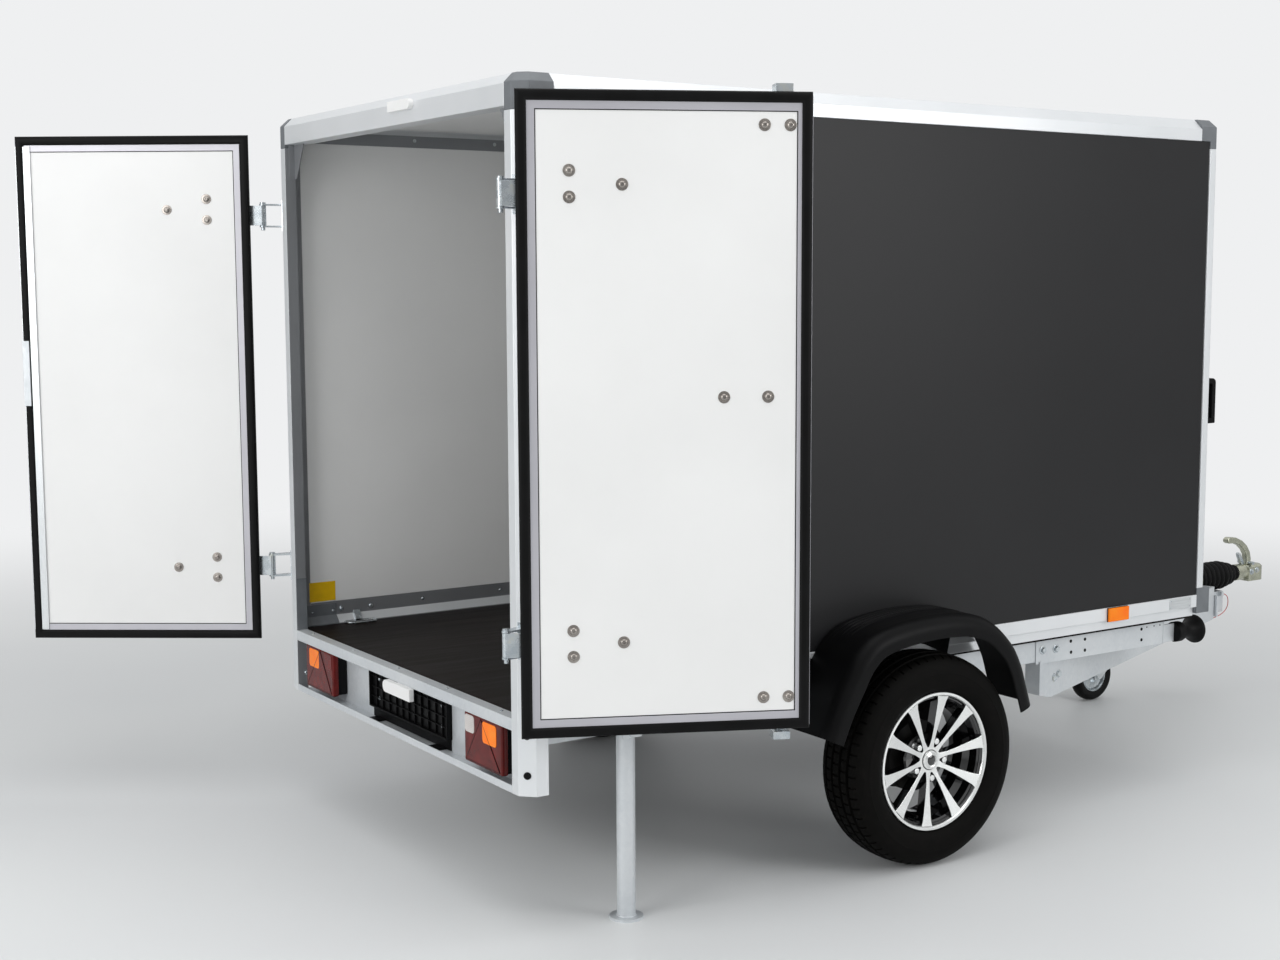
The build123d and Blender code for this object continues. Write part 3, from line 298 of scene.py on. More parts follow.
# %% Black outer skin
ORANGE_PEEL = 0.006
material, tree = recipe("black_coated_panel_skin")
here = add(tree, "TexCoord").outputs["Object"]
peel = add(tree, "TexNoise", {"Vector": here, "Scale": 1 / ORANGE_PEEL, "Detail": 2})
clouds = add(tree, "TexNoise", {"Vector": here, "Scale": 1.6, "Detail": 3})
paint = add(tree, "ValToRGB", {"Fac": clouds}, stops=[(0.3, "131315"), (0.7, "171719")])
shine = add(tree, "MapRange", {"Value": clouds, "To Min": 0.40, "To Max": 0.48})
skin = add(tree, "Bump", {"Height": peel, "Distance": 0.00008, "Strength": 0.4})
body = add(tree, "BsdfPrincipled", {"Base Color": paint, "Roughness": shine, "IOR": 1.5,
                                    "Specular IOR Level": 0.30, "Normal": skin})
add(tree, "OutputMaterial", {"Surface": body})
keep("black_skin", "black_sheet", material)

# %% White inner skin
material, tree = recipe("white_coated_panel_skin")
here = add(tree, "TexCoord").outputs["Object"]
peel = add(tree, "TexNoise", {"Vector": here, "Scale": 1 / ORANGE_PEEL, "Detail": 2})
clouds = add(tree, "TexNoise", {"Vector": here, "Scale": 2.0, "Detail": 4})
paint = add(tree, "ValToRGB", {"Fac": clouds}, stops=[(0.3, "e9e9e8"), (0.7, "efefee")])
shine = add(tree, "MapRange", {"Value": clouds, "To Min": 0.32, "To Max": 0.42})
skin = add(tree, "Bump", {"Height": peel, "Distance": 0.00008, "Strength": 0.35})
body = add(tree, "BsdfPrincipled", {"Base Color": paint, "Roughness": shine, "IOR": 1.5, "Normal": skin})
add(tree, "OutputMaterial", {"Surface": body})
keep("white_skin", "white_board", material)

# %% [markdown]
# The load floor is birch plywood pressed with a brown phenol film. The wire mesh of the
# press leaves a grid of small dimples about 5 mm apart, which stop a load from
# sliding, and shoes and loads leave long lighter scuffs along the floor.

# %% Film-faced plywood
MESH_PITCH = 0.005
material, tree = recipe("phenol_filmed_birch_plywood")
here = add(tree, "TexCoord").outputs["Object"]
turned_grid = add(tree, "Mapping", {"Vector": here, "Rotation": (0, 0, pi / 4)})
warp = add(tree, "TexWave", {"Vector": turned_grid, "Scale": WAVE / MESH_PITCH}, bands_direction="X")
weft = add(tree, "TexWave", {"Vector": turned_grid, "Scale": WAVE / MESH_PITCH}, bands_direction="Y")
mesh = add(tree, "Math", {0: warp.outputs["Fac"], 1: weft.outputs["Fac"]}, operation="MULTIPLY")
drag = add(tree, "Mapping", {"Vector": here, "Scale": (1, 0.06, 1)})
scuffs = add(tree, "TexNoise", {"Vector": drag, "Scale": 38.0, "Detail": 5, "Roughness": 0.65})
clouds = add(tree, "TexNoise", {"Vector": here, "Scale": 4.0, "Detail": 3})
film = add(tree, "ValToRGB", {"Fac": clouds}, stops=[(0.3, "0f0907"), (0.7, "150d09")])
worn = add(tree, "MapRange", {"Value": scuffs, "From Min": 0.5, "From Max": 0.8, "To Max": 0.3})
paint = add(tree, "Mix", {0: worn, 6: film, 7: colour("241a14")}, data_type="RGBA")
shine = add(tree, "MapRange", {"Value": scuffs, "To Min": 0.34, "To Max": 0.55})
dimples = add(tree, "Bump", {"Height": mesh, "Distance": 0.0004, "Strength": 0.6})
body = add(tree, "BsdfPrincipled", {"Base Color": paint.outputs[2], "Roughness": shine, "IOR": 1.5,
                                    "Specular IOR Level": 0.08, "Normal": dimples})
add(tree, "OutputMaterial", {"Surface": body})
keep("ply", "floor_ply", material)

# %% [markdown]
# Moulded plastics: grey nylon for the corner caps, black polyethylene for the mudguards
# and the housings. The tool is spark-eroded, which leaves a fine grain. The real grain
# is about 0.4 mm, too fine for a picture, so it is drawn at 1.2 mm.

# %% Grey nylon
TOOL_GRAIN = 0.0012
material, tree = recipe("moulded_grey_nylon")
here = add(tree, "TexCoord").outputs["Object"]
grain = add(tree, "TexNoise", {"Vector": here, "Scale": 1 / TOOL_GRAIN, "Detail": 2})
clouds = add(tree, "TexNoise", {"Vector": here, "Scale": 22.0, "Detail": 3})
paint = add(tree, "ValToRGB", {"Fac": clouds}, stops=[(0.3, "62666a"), (0.7, "6c7074")])
shine = add(tree, "MapRange", {"Value": grain, "To Min": 0.42, "To Max": 0.55})
bumps = add(tree, "Bump", {"Height": grain, "Distance": 0.00012, "Strength": 0.5})
body = add(tree, "BsdfPrincipled", {"Base Color": paint, "Roughness": shine, "IOR": 1.53, "Normal": bumps})
add(tree, "OutputMaterial", {"Surface": body})
keep("grey_plastic", "grey_plastic", material)

# %% Black polyethylene
material, tree = recipe("moulded_black_polyethylene")
here = add(tree, "TexCoord").outputs["Object"]
grain = add(tree, "TexNoise", {"Vector": here, "Scale": 1 / TOOL_GRAIN, "Detail": 2})
clouds = add(tree, "TexNoise", {"Vector": here, "Scale": 9.0, "Detail": 4})
paint = add(tree, "ValToRGB", {"Fac": clouds}, stops=[(0.3, "080809"), (0.7, "0d0d0e")])
shine = add(tree, "MapRange", {"Value": clouds, "To Min": 0.36, "To Max": 0.50})
bumps = add(tree, "Bump", {"Height": grain, "Distance": 0.00012, "Strength": 0.5})
body = add(tree, "BsdfPrincipled", {"Base Color": paint, "Roughness": shine, "IOR": 1.5,
                                    "Specular IOR Level": 0.10, "Normal": bumps})
add(tree, "OutputMaterial", {"Surface": body})
keep("black_plastic", "black_plastic", material)

# %% [markdown]
# Two rubbers. The door seals and the drawbar bellows are extruded or moulded EPDM, soft
# black with a faint bloom. The tyres are carbon-black rubber, a little browner, with
# dust in the tread and small mould pips, and much rougher.

# %% EPDM rubber
material, tree = recipe("black_epdm_rubber")
here = add(tree, "TexCoord").outputs["Object"]
bloom = add(tree, "TexNoise", {"Vector": here, "Scale": 14.0, "Detail": 4})
fine = add(tree, "TexNoise", {"Vector": here, "Scale": 700.0, "Detail": 2})
paint = add(tree, "ValToRGB", {"Fac": bloom}, stops=[(0.35, "080808"), (0.75, "0e0e0f")])
shine = add(tree, "MapRange", {"Value": bloom, "To Min": 0.42, "To Max": 0.60})
skin = add(tree, "Bump", {"Height": fine, "Distance": 0.0001, "Strength": 0.4})
body = add(tree, "BsdfPrincipled", {"Base Color": paint, "Roughness": shine, "IOR": 1.52,
                                    "Specular IOR Level": 0.12, "Normal": skin})
add(tree, "OutputMaterial", {"Surface": body})
keep("rubber", "rubber", material)

# %% Tyre rubber
material, tree = recipe("carbon_black_tyre_rubber")
here = add(tree, "TexCoord").outputs["Object"]
dust = add(tree, "TexNoise", {"Vector": here, "Scale": 30.0, "Detail": 5, "Roughness": 0.6})
fine = add(tree, "TexNoise", {"Vector": here, "Scale": 600.0, "Detail": 3})
paint = add(tree, "ValToRGB", {"Fac": dust}, stops=[(0.3, "080807"), (0.6, "0d0c0b"), (0.85, "161412")])
shine = add(tree, "MapRange", {"Value": dust, "To Min": 0.50, "To Max": 0.72})
skin = add(tree, "Bump", {"Height": fine, "Distance": 0.00015, "Strength": 0.5})
body = add(tree, "BsdfPrincipled", {"Base Color": paint, "Roughness": shine, "IOR": 1.52,
                                    "Specular IOR Level": 0.05, "Normal": skin})
add(tree, "OutputMaterial", {"Surface": body})
keep("tyre", "tyre", material)

# %% [markdown]
# The wheels are cast alloy, painted gloss black all over, then put on a lathe that cuts
# the front of the spokes bright again. The lathe leaves rings round the axle about
# 0.4 mm apart, drawn here at 1.5 mm, and clear lacquer covers everything.

# %% Gloss black lacquer
material, tree = recipe("gloss_black_lacquered_alloy")
here = add(tree, "TexCoord").outputs["Object"]
peel = add(tree, "TexNoise", {"Vector": here, "Scale": 160.0, "Detail": 2})
paint = add(tree, "ValToRGB", {"Fac": peel}, stops=[(0.3, "070708"), (0.7, "0c0c0d")])
shine = add(tree, "MapRange", {"Value": peel, "To Min": 0.08, "To Max": 0.14})
skin = add(tree, "Bump", {"Height": peel, "Distance": 0.0001, "Strength": 0.3})
body = add(tree, "BsdfPrincipled", {"Base Color": paint, "Roughness": shine, "Coat Weight": 1.0,
                                    "Coat Roughness": 0.04, "Normal": skin})
add(tree, "OutputMaterial", {"Surface": body})
keep("gloss_black", "alloy_rim", material)

# %% Lathe-cut alloy
LATHE_PITCH = 0.0015
axle = joints["wheel_right_spin"]["pos_m"]
material, tree = recipe("diamond_turned_alloy")
here = add(tree, "TexCoord").outputs["Object"]
to_axle = add(tree, "Mapping", {"Vector": here, "Location": (0, -axle[1], -axle[2]), "Scale": (0, 1, 1)})
rings = add(tree, "TexWave", {"Vector": to_axle, "Scale": WAVE / LATHE_PITCH, "Distortion": 0.4},
            wave_type="RINGS", rings_direction="SPHERICAL")
patches = add(tree, "TexNoise", {"Vector": here, "Scale": 20.0, "Detail": 3})
paint = add(tree, "ValToRGB", {"Fac": patches}, stops=[(0.3, "e6e7e6"), (0.7, "f1f2f1")])
shine = add(tree, "MapRange", {"Value": rings.outputs["Fac"], "To Min": 0.16, "To Max": 0.26})
cut = add(tree, "Bump", {"Height": rings.outputs["Fac"], "Distance": 0.00004, "Strength": 0.3})
body = add(tree, "BsdfPrincipled", {"Base Color": paint, "Metallic": 0.8, "Roughness": shine,
                                    "Coat Weight": 0.5, "Coat Roughness": 0.08, "Normal": cut})
add(tree, "OutputMaterial", {"Surface": body})
keep("cut_alloy", "alloy_rim", material)

# %% [markdown]
# Grey cast iron makes the brake drums and the swing arms: dark, dull and sandy from the
# mould, with a first bloom of brown rust.

# %% Cast iron
material, tree = recipe("grey_cast_iron")
here = add(tree, "TexCoord").outputs["Object"]
sand = add(tree, "TexNoise", {"Vector": here, "Scale": 450.0, "Detail": 4})
bloom = add(tree, "TexNoise", {"Vector": here, "Scale": 18.0, "Detail": 4})
paint = add(tree, "ValToRGB", {"Fac": bloom}, stops=[(0.35, "0d0d0e"), (0.6, "131211"), (0.8, "1b1613")])
shine = add(tree, "MapRange", {"Value": bloom, "To Min": 0.55, "To Max": 0.8})
skin = add(tree, "Bump", {"Height": sand, "Distance": 0.0003, "Strength": 0.6})
body = add(tree, "BsdfPrincipled", {"Base Color": paint, "Roughness": shine, "Specular IOR Level": 0.2,
                                    "Normal": skin})
add(tree, "OutputMaterial", {"Surface": body})
keep("cast_iron", "cast_iron", material)

# %% [markdown]
# Lamp lenses are moulded acrylic with rows of small prisms on the inside, about 5 mm
# wide, which scatter the bulb. Unlit, they read as a deep coloured gloss with a fine
# grid that lightens and darkens the colour. The same recipe serves red, amber and clear.

# %% Lens acrylics
PRISM = 0.005
for short, slot, dark, light in (("red_lens", "red_lens", "4c0d0b", "7c1c18"),
                                 ("amber_lens", "amber_lens", "ff7200", "ff9a14"),
                                 ("clear_lens", "zinc_fitting", "b9b3b0", "dedbd8")):
    material, tree = recipe("moulded_" + short.replace("_lens", "") + "_acrylic")
    here = add(tree, "TexCoord").outputs["Object"]
    across = add(tree, "TexWave", {"Vector": here, "Scale": WAVE / PRISM}, bands_direction="X")
    along = add(tree, "TexWave", {"Vector": here, "Scale": WAVE / PRISM}, bands_direction="Y")
    upright = add(tree, "TexWave", {"Vector": here, "Scale": WAVE / PRISM}, bands_direction="Z")
    flat_way = add(tree, "Math", {0: across.outputs["Fac"], 1: along.outputs["Fac"]}, operation="MULTIPLY")
    cells = add(tree, "Math", {0: flat_way, 1: upright.outputs["Fac"]}, operation="MULTIPLY")
    clouds = add(tree, "TexNoise", {"Vector": here, "Scale": 25.0, "Detail": 2})
    factor = add(tree, "Mix", {0: 0.35, 2: clouds, 3: cells})
    paint = add(tree, "ValToRGB", {"Fac": factor.outputs[0]}, stops=[(0.2, dark), (0.75, light)])
    prisms = add(tree, "Bump", {"Height": cells, "Distance": 0.0004, "Strength": 0.35})
    shine = add(tree, "MapRange", {"Value": clouds, "To Min": 0.12, "To Max": 0.22})
    body = add(tree, "BsdfPrincipled", {"Base Color": paint, "Roughness": shine, "IOR": 1.49,
                                        "Specular IOR Level": 0.25, "Normal": prisms})
    add(tree, "OutputMaterial", {"Surface": body})
    keep(short, slot, material)

# %% [markdown]
# Two small printed surfaces, both left blank here: a yellow vinyl sticker inside, and a
# brushed aluminium type plate outside. Vinyl is semi-gloss and slightly uneven where it
# lies over the wall; the plate has brush lines along it.

# %% Yellow vinyl, and brushed plate
material, tree = recipe("printed_yellow_vinyl")
here = add(tree, "TexCoord").outputs["Object"]
lay = add(tree, "TexNoise", {"Vector": here, "Scale": 40.0, "Detail": 2})
paint = add(tree, "ValToRGB", {"Fac": lay}, stops=[(0.3, "e8b90a"), (0.7, "f2c30f")])
bubbles = add(tree, "Bump", {"Height": lay, "Distance": 0.0003, "Strength": 0.4})
shine = add(tree, "MapRange", {"Value": lay, "To Min": 0.3, "To Max": 0.45})
body = add(tree, "BsdfPrincipled", {"Base Color": paint, "Roughness": shine, "Normal": bubbles})
add(tree, "OutputMaterial", {"Surface": body})
keep("yellow_vinyl", "white_board", material)

material, tree = recipe("brushed_aluminium_plate")
here = add(tree, "TexCoord").outputs["Object"]
along = add(tree, "Mapping", {"Vector": here, "Scale": (1, 0.02, 1)})
brush = add(tree, "TexNoise", {"Vector": along, "Scale": 900.0, "Detail": 3})
paint = add(tree, "ValToRGB", {"Fac": brush}, stops=[(0.3, "c4c7c9"), (0.7, "dde0e1")])
shine = add(tree, "MapRange", {"Value": brush, "To Min": 0.25, "To Max": 0.4})
marks = add(tree, "Bump", {"Height": brush, "Distance": 0.00005, "Strength": 0.5})
body = add(tree, "BsdfPrincipled", {"Base Color": paint, "Metallic": 0.8,
                                    "Roughness": shine, "Normal": marks})
add(tree, "OutputMaterial", {"Surface": body})
keep("type_plate", "aluminium", material)

# %% [markdown]
# The breakaway cable has a thin red PVC sheath, drawn over the wire while soft: glossy,
# a little uneven in thickness, and paler where it has been handled.

# %% Red cable sheath
material, tree = recipe("red_pvc_cable_sheath")
here = add(tree, "TexCoord").outputs["Object"]
handling = add(tree, "TexNoise", {"Vector": here, "Scale": 60.0, "Detail": 2})
paint = add(tree, "ValToRGB", {"Fac": handling}, stops=[(0.3, "a5221f"), (0.7, "c8403a")])
shine = add(tree, "MapRange", {"Value": handling, "To Min": 0.25, "To Max": 0.40})
drawn = add(tree, "Bump", {"Height": handling, "Distance": 0.0002, "Strength": 0.3})
body = add(tree, "BsdfPrincipled", {"Base Color": paint, "Roughness": shine, "IOR": 1.53, "Normal": drawn})
add(tree, "OutputMaterial", {"Surface": body})
keep("red_sheath", "red_pvc", material)

# %% [markdown]
# The modelling tools. A primitive is added, its corners are set where the real part has
# them, and it is pulled, spun and rounded as by hand. A finished piece keeps its place
# in its mesh. Flat faces keep a flat shine through weighted normals.

# %% Selecting and settling
def chosen(*pieces):
    """Only these pieces are selected, and the first is the active one."""
    bpy.ops.object.select_all(action="DESELECT")
    for piece in pieces:
        piece.select_set(True)
    bpy.context.view_layer.objects.active = pieces[0]


def settled(piece):
    """Puts a piece's place, turn and size into its mesh."""
    chosen(piece)
    bpy.ops.object.transform_apply(location=True, rotation=True, scale=True)
    return piece


def edited(piece, *steps):
    """Selects all in edit mode, runs the steps, and comes back."""
    chosen(piece)
    bpy.ops.object.mode_set(mode="EDIT")
    bpy.ops.mesh.select_all(action="SELECT")
    for step in steps:
        step()
    bpy.ops.object.mode_set(mode="OBJECT")
    return piece


def welded(piece, gap=0.00002):
    """Merges doubled corners, drops loose edges and turns every face outwards."""
    return edited(piece, lambda: bpy.ops.mesh.remove_doubles(threshold=gap),
                  lambda: bpy.ops.mesh.delete_loose(),
                  lambda: bpy.ops.mesh.select_all(action="SELECT"),
                  lambda: bpy.ops.mesh.normals_make_consistent(inside=False))


def modified(piece, kind, **settings):
    """Adds a modifier, sets it, and applies it."""
    chosen(piece)
    bpy.ops.object.modifier_add(type=kind)
    modifier = piece.modifiers[-1]
    for name, value in settings.items():
        setattr(modifier, name, value)
    bpy.ops.object.modifier_apply(modifier=modifier.name)
    return piece


def smoothed(piece, angle=40):
    """Smooth over gentle edges, sharp over the others, and flat on the flats."""
    chosen(piece)
    bpy.ops.object.shade_smooth_by_angle(angle=radians(angle))
    return modified(piece, "WEIGHTED_NORMAL", keep_sharp=True)


def eased(piece, width, segments=2, angle=30):
    """Rounds every edge sharper than an angle, then smooths."""
    modified(piece, "BEVEL", width=width, segments=segments, limit_method="ANGLE",
             angle_limit=radians(angle), use_clamp_overlap=True)
    return smoothed(piece)


# %% [markdown]
# Four ways of starting a shape. A block is a cube set between two corners. A plate is an
# outline pulled to a thickness. A turning is an outline spun round an axis. A moulding
# is a section carried round a rectangle with mitred corners, as a picture frame is.

# %% Blocks, plates, turnings and mouldings
def block(low, high, ease=0.0, segments=2):
    """A box between two corners, its edges eased."""
    low, high = Vector(low), Vector(high)
    bpy.ops.mesh.primitive_cube_add(size=1, location=(low + high) / 2)
    piece = bpy.context.object
    piece.scale = [abs(v) for v in high - low]
    settled(piece)
    return eased(piece, ease, segments) if ease else piece


def plate(outline, axis, start, end, ease=0.0, segments=2):
    """An outline of points pulled from start to end along axis 0, 1 or 2."""
    bpy.ops.mesh.primitive_circle_add(vertices=len(outline), fill_type="NGON")
    piece = bpy.context.object
    for vertex, point in zip(piece.data.vertices, outline):
        spot = list(point)
        spot.insert(axis, start)
        vertex.co = spot
    pull = [0, 0, 0]
    pull[axis] = end - start
    edited(piece, lambda: bpy.ops.mesh.extrude_region_move(TRANSFORM_OT_translate={"value": pull}),
           lambda: bpy.ops.mesh.select_all(action="SELECT"),
           lambda: bpy.ops.mesh.normals_make_consistent(inside=False))
    return eased(piece, ease, segments) if ease else piece


def turning(section, axis, centre, steps=48, smooth=35):
    """An outline of (radius, distance along the axis) points, spun once round the axis."""
    bpy.ops.mesh.primitive_circle_add(vertices=len(section), fill_type="NOTHING")
    piece = bpy.context.object
    centre = Vector(centre)
    stand = Vector((0, 0, 1)).rotation_difference(Vector(axis)).to_matrix()
    for vertex, (radius, along) in zip(piece.data.vertices, section):
        vertex.co = centre + stand @ Vector((radius, 0, along))
    edited(piece, lambda: bpy.ops.mesh.spin(steps=steps, angle=tau, center=centre, axis=axis))
    welded(piece)
    return smoothed(piece, smooth) if smooth else piece


def moulding(section, low, high, axis):
    """A closed section of (inwards, forwards) points carried round the rectangle low-high.

    Axis 1 is a rectangle in X and Z, and forwards then runs along Y."""
    bpy.ops.mesh.primitive_torus_add(major_segments=4, minor_segments=len(section))
    piece = bpy.context.object
    u, v = [k for k in range(3) if k != axis]
    corners = ((low, low, 1, 1), (high, low, -1, 1), (high, high, -1, -1), (low, high, 1, -1))
    for c, (at_u, at_v, sign_u, sign_v) in enumerate(corners):
        for s, (inwards, forwards) in enumerate(section):
            spot = [0, 0, 0]
            spot[u], spot[v] = at_u[u] + sign_u * inwards, at_v[v] + sign_v * inwards
            spot[axis] = low[axis] + forwards
            piece.data.vertices[c * len(section) + s].co = spot
    return welded(piece)


def pipe(points, radius, name, sides=12):
    """A bent round bar or tube through the points, as a closed mesh."""
    path = bpy.data.curves.new(name, "CURVE")
    path.dimensions = "3D"
    path.bevel_depth = radius
    path.bevel_resolution = max(1, sides // 4)
    path.use_fill_caps = True
    run = path.splines.new("NURBS")
    run.points.add(len(points) - 1)
    for spot, point in zip(run.points, points):
        spot.co = (*point, 1)
    run.order_u = 3
    run.use_endpoint_u = True
    run.resolution_u = 6
    piece = bpy.data.objects.new(name, path)
    bpy.context.collection.objects.link(piece)
    chosen(piece)
    bpy.ops.object.convert(target="MESH")
    return smoothed(bpy.context.object)


# %% [markdown]
# Repeats are modelled once and copied, each with its own mesh. A mirrored copy has its
# normals recalculated, because a mirror turns a shape inside out. The last helper names
# a piece, gives it its finish, and says which body it moves with.

# %% Copying, joining and dressing
def copied(piece, move):
    """A copy with its own mesh, moved by a matrix."""
    twin = bpy.data.objects.new(piece.name, piece.data.copy())
    bpy.context.collection.objects.link(twin)
    twin.data.transform(move)
    return twin


def mirrored(piece):
    """The left-hand twin of a right-hand piece."""
    twin = copied(piece, Matrix.Scale(-1, 4, (1, 0, 0)))
    chosen(twin)
    bpy.ops.mesh.customdata_custom_splitnormals_clear()
    twin.data.flip_normals()
    return smoothed(twin)


def joined(*pieces):
    """Several pieces made one object."""
    chosen(*pieces)
    bpy.ops.object.join()
    return bpy.context.object


def discarded(*pieces):
    """Takes away the pieces that were only patterns for copies."""
    for piece in pieces:
        bpy.data.objects.remove(piece)


def painted(piece, short, test=None):
    """Gives a piece a finish, all over or on the faces whose middle and normal pass a test."""
    material, _ = finishes[short]
    if test is None:
        piece.data.materials.clear()
        piece.data.materials.append(material)
        return piece
    piece.data.materials.append(material)
    number = len(piece.data.materials) - 1
    for face in piece.data.polygons:
        if test(face.center, face.normal):
            face.material_index = number
    return piece


def dressed(piece, name, body, short, *stands_for):
    """Names a piece and says its finish, its body and the nodes it stands for."""
    piece.name = piece.data.name = name
    if not piece.data.materials:
        painted(piece, short)
    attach(piece, body)
    if stands_for:
        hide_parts(*stands_for)
    return piece


def ring_of(piece, axis, centre, count, first=0.0):
    """Copies a piece round an axis, evenly, and joins the copies."""
    there, back = Matrix.Translation(Vector(centre)), Matrix.Translation(-Vector(centre))
    turns = [Matrix.Rotation(first + tau * k / count, 4, axis) for k in range(count)]
    ring = joined(*[copied(piece, there @ turn @ back) for turn in turns])
    discarded(piece)
    return ring


print("tools ready")

# %% [markdown]
# Each sheet, tube and casting of the frame is a sharp-edged solid. On the real trailer
# every edge is broken by a bend, a mould or a file, and that thin bright line is what
# makes metal look like metal. So each is copied, its loose triangles are merged and
# dissolved into flat faces, its edges are rounded, and the copy stands for the node.

# %% Easing the edges of the frame's own solids
WELD_GAP, FLAT_ENOUGH = 0.00001, radians(0.6)
home = {node: body for body, kept in frame["record"]["behaviour"]["bodies"].items() for node in kept}


def softened(node, short, width, segments=2):
    """A copy of a node with rounded edges, which stands for it."""
    piece = bpy.data.objects.new(node + "_eased", nodes[node].data.copy())
    bpy.context.collection.objects.link(piece)
    piece.data.materials.clear()
    edited(piece, lambda: bpy.ops.mesh.remove_doubles(threshold=WELD_GAP),
           lambda: bpy.ops.mesh.dissolve_limited(angle_limit=FLAT_ENOUGH))
    eased(piece, width, segments)
    return dressed(piece, node + "_eased", home[node], short, node)


SHEET, PROFILE, CASTING, MOULDING = 0.0010, 0.0015, 0.0020, 0.0045
to_ease = {
    ("galvanised", SHEET): ("side_members", "cross_members", "drawbar_beams", "axle_beam", "rear_sill",
                            "light_beam", "jockey_tube", "jockey_clamp", "jockey_fork", "prop_bracket",
                            "prop_stand", "overrun_housing"),
    ("anodised_x", PROFILE): ("header_rear", "header_front"),
    ("anodised_y", PROFILE): ("roof_rails", "sill_rails"),
    ("anodised_z", PROFILE): ("posts_rear", "posts_front"),
    ("grey_plastic", CASTING): ("corner_caps", "front_feet"),
    ("zinc", SHEET): ("hinge_brackets", "door_left_hinges", "door_right_hinges", "lock_rod",
                      "rod_guides"),
    ("passivated", SHEET): ("coupling_head", "handbrake_lever"),
    ("black_plastic", MOULDING): ("grab_handles",),
    ("cast_iron", CASTING): ("brake_drum_left", "brake_drum_right", "swing_arms"),
    ("ply", PROFILE): ("floor_panel",),
    ("white_skin", SHEET): ("roof_panel", "lock_keepers"),
}
for (short, width), group in to_ease.items():
    for node in group:
        softened(node, short, width)
    print(short, "->", len(group), "pieces")

# %% [markdown]
# The tyre. Its cross-section is drawn once and spun round the axle in 360 steps, which
# makes a smooth carcass with three straight grooves. The cross grooves between the tread
# blocks are short runs of faces, chosen by their angle, which are pushed inwards; every
# rib starts its grooves at another angle, so that the blocks are staggered.

# %% Tyre
HUB = Vector(joints["wheel_right_spin"]["pos_m"])
HALF_TREAD = (
    (0.1900, 0.0640), (0.2022, 0.0672), (0.2040, 0.0715), (0.2080, 0.0762), (0.2150, 0.0803),
    (0.2260, 0.0842), (0.2400, 0.0862), (0.2530, 0.0862), (0.2545, 0.0869), (0.2570, 0.0869),
    (0.2585, 0.0858), (0.2690, 0.0846), (0.2800, 0.0812), (0.2890, 0.0766), (0.2950, 0.0716),
    (0.2995, 0.0660), (0.3030, 0.0580), (0.3045, 0.0500), (0.2975, 0.0485), (0.2975, 0.0425),
    (0.3065, 0.0410), (0.3076, 0.0300), (0.3078, 0.0210), (0.3006, 0.0198), (0.3006, 0.0130),
    (0.3086, 0.0118))
PITCHES, STEPS_IN_PITCH, GROOVE_DEPTH = 60, 6, 0.0050
RIBS = ((-0.074, -0.049, 3), (-0.042, -0.020, 5), (-0.012, 0.012, 1), (0.020, 0.042, 4),
        (0.049, 0.074, 0))
TREAD_FROM, BEAD_INSIDE = 0.2940, (0.1830, 0.0560)

section = [(radius, side) for radius, side in HALF_TREAD]
section += [(radius, -side) for radius, side in reversed(HALF_TREAD)]
section += [(BEAD_INSIDE[0], -BEAD_INSIDE[1]), BEAD_INSIDE]
tyre = turning(section, (1, 0, 0), HUB, steps=PITCHES * STEPS_IN_PITCH, smooth=None)


def in_cross_groove(middle, normal):
    """True for a tread face that lies in one of its rib's cross grooves."""
    spoke = middle - HUB
    radius = hypot(spoke.y, spoke.z)
    if radius < TREAD_FROM or spoke.y * normal.y + spoke.z * normal.z < 0.5 * radius:
        return False
    step = int(degrees(atan2(spoke.z, spoke.y)) % 360 * PITCHES * STEPS_IN_PITCH / 360) % STEPS_IN_PITCH
    return any(low < spoke.x < high and step == start for low, high, start in RIBS)


def sink(piece, test, depth):
    """Pushes the faces that pass a test inwards, each along its own normal."""
    edited(piece, lambda: bpy.ops.mesh.select_mode(type="FACE"),
           lambda: bpy.ops.mesh.select_all(action="DESELECT"))
    for face in piece.data.polygons:
        face.select = test(face.center, face.normal)
    count = sum(face.select for face in piece.data.polygons)
    chosen(piece)
    bpy.ops.object.mode_set(mode="EDIT")
    bpy.ops.mesh.extrude_region_shrink_fatten(TRANSFORM_OT_shrink_fatten={"value": -depth})
    bpy.ops.object.mode_set(mode="OBJECT")
    return count


sunk = sink(tyre, in_cross_groove, GROOVE_DEPTH)
smoothed(tyre, 30)
print("tyre:", len(tyre.data.polygons), "faces,", sunk, "of them sunk as cross grooves")

# %% [markdown]
# The alloy wheel is three turnings and one spoke. The barrel is an outline with two
# flanges and a drop centre. A spoke is a plate that widens towards the rim, leans
# outwards as it goes, and is copied ten times. Only faces that look outwards were on the
# lathe, so those are bright and the rest of the casting stays gloss black.

# %% Rim barrel, hub and centre cap
BARREL = (
    (0.1930, 0.0752), (0.1995, 0.0748), (0.2010, 0.0718), (0.1985, 0.0670), (0.1825, 0.0625),
    (0.1805, 0.0330), (0.1650, 0.0180), (0.1650, -0.0200), (0.1805, -0.0350), (0.1825, -0.0625),
    (0.1985, -0.0670), (0.2010, -0.0718), (0.1995, -0.0740), (0.1930, -0.0740), (0.1835, -0.0680),
    (0.1765, -0.0600), (0.1745, -0.0380), (0.1590, -0.0220), (0.1590, 0.0160), (0.1745, 0.0300),
    (0.1775, 0.0560), (0.1868, 0.0640), (0.1885, 0.0690), (0.1905, 0.0730))
HUB_PLATE = ((0.0, 0.0120), (0.0700, 0.0120), (0.0760, 0.0160), (0.0760, 0.0250), (0.0720, 0.0290),
             (0.0440, 0.0310), (0.0400, 0.0480), (0.0380, 0.0500), (0.0300, 0.0505),
             (0.0290, 0.0480), (0.0, 0.0480))
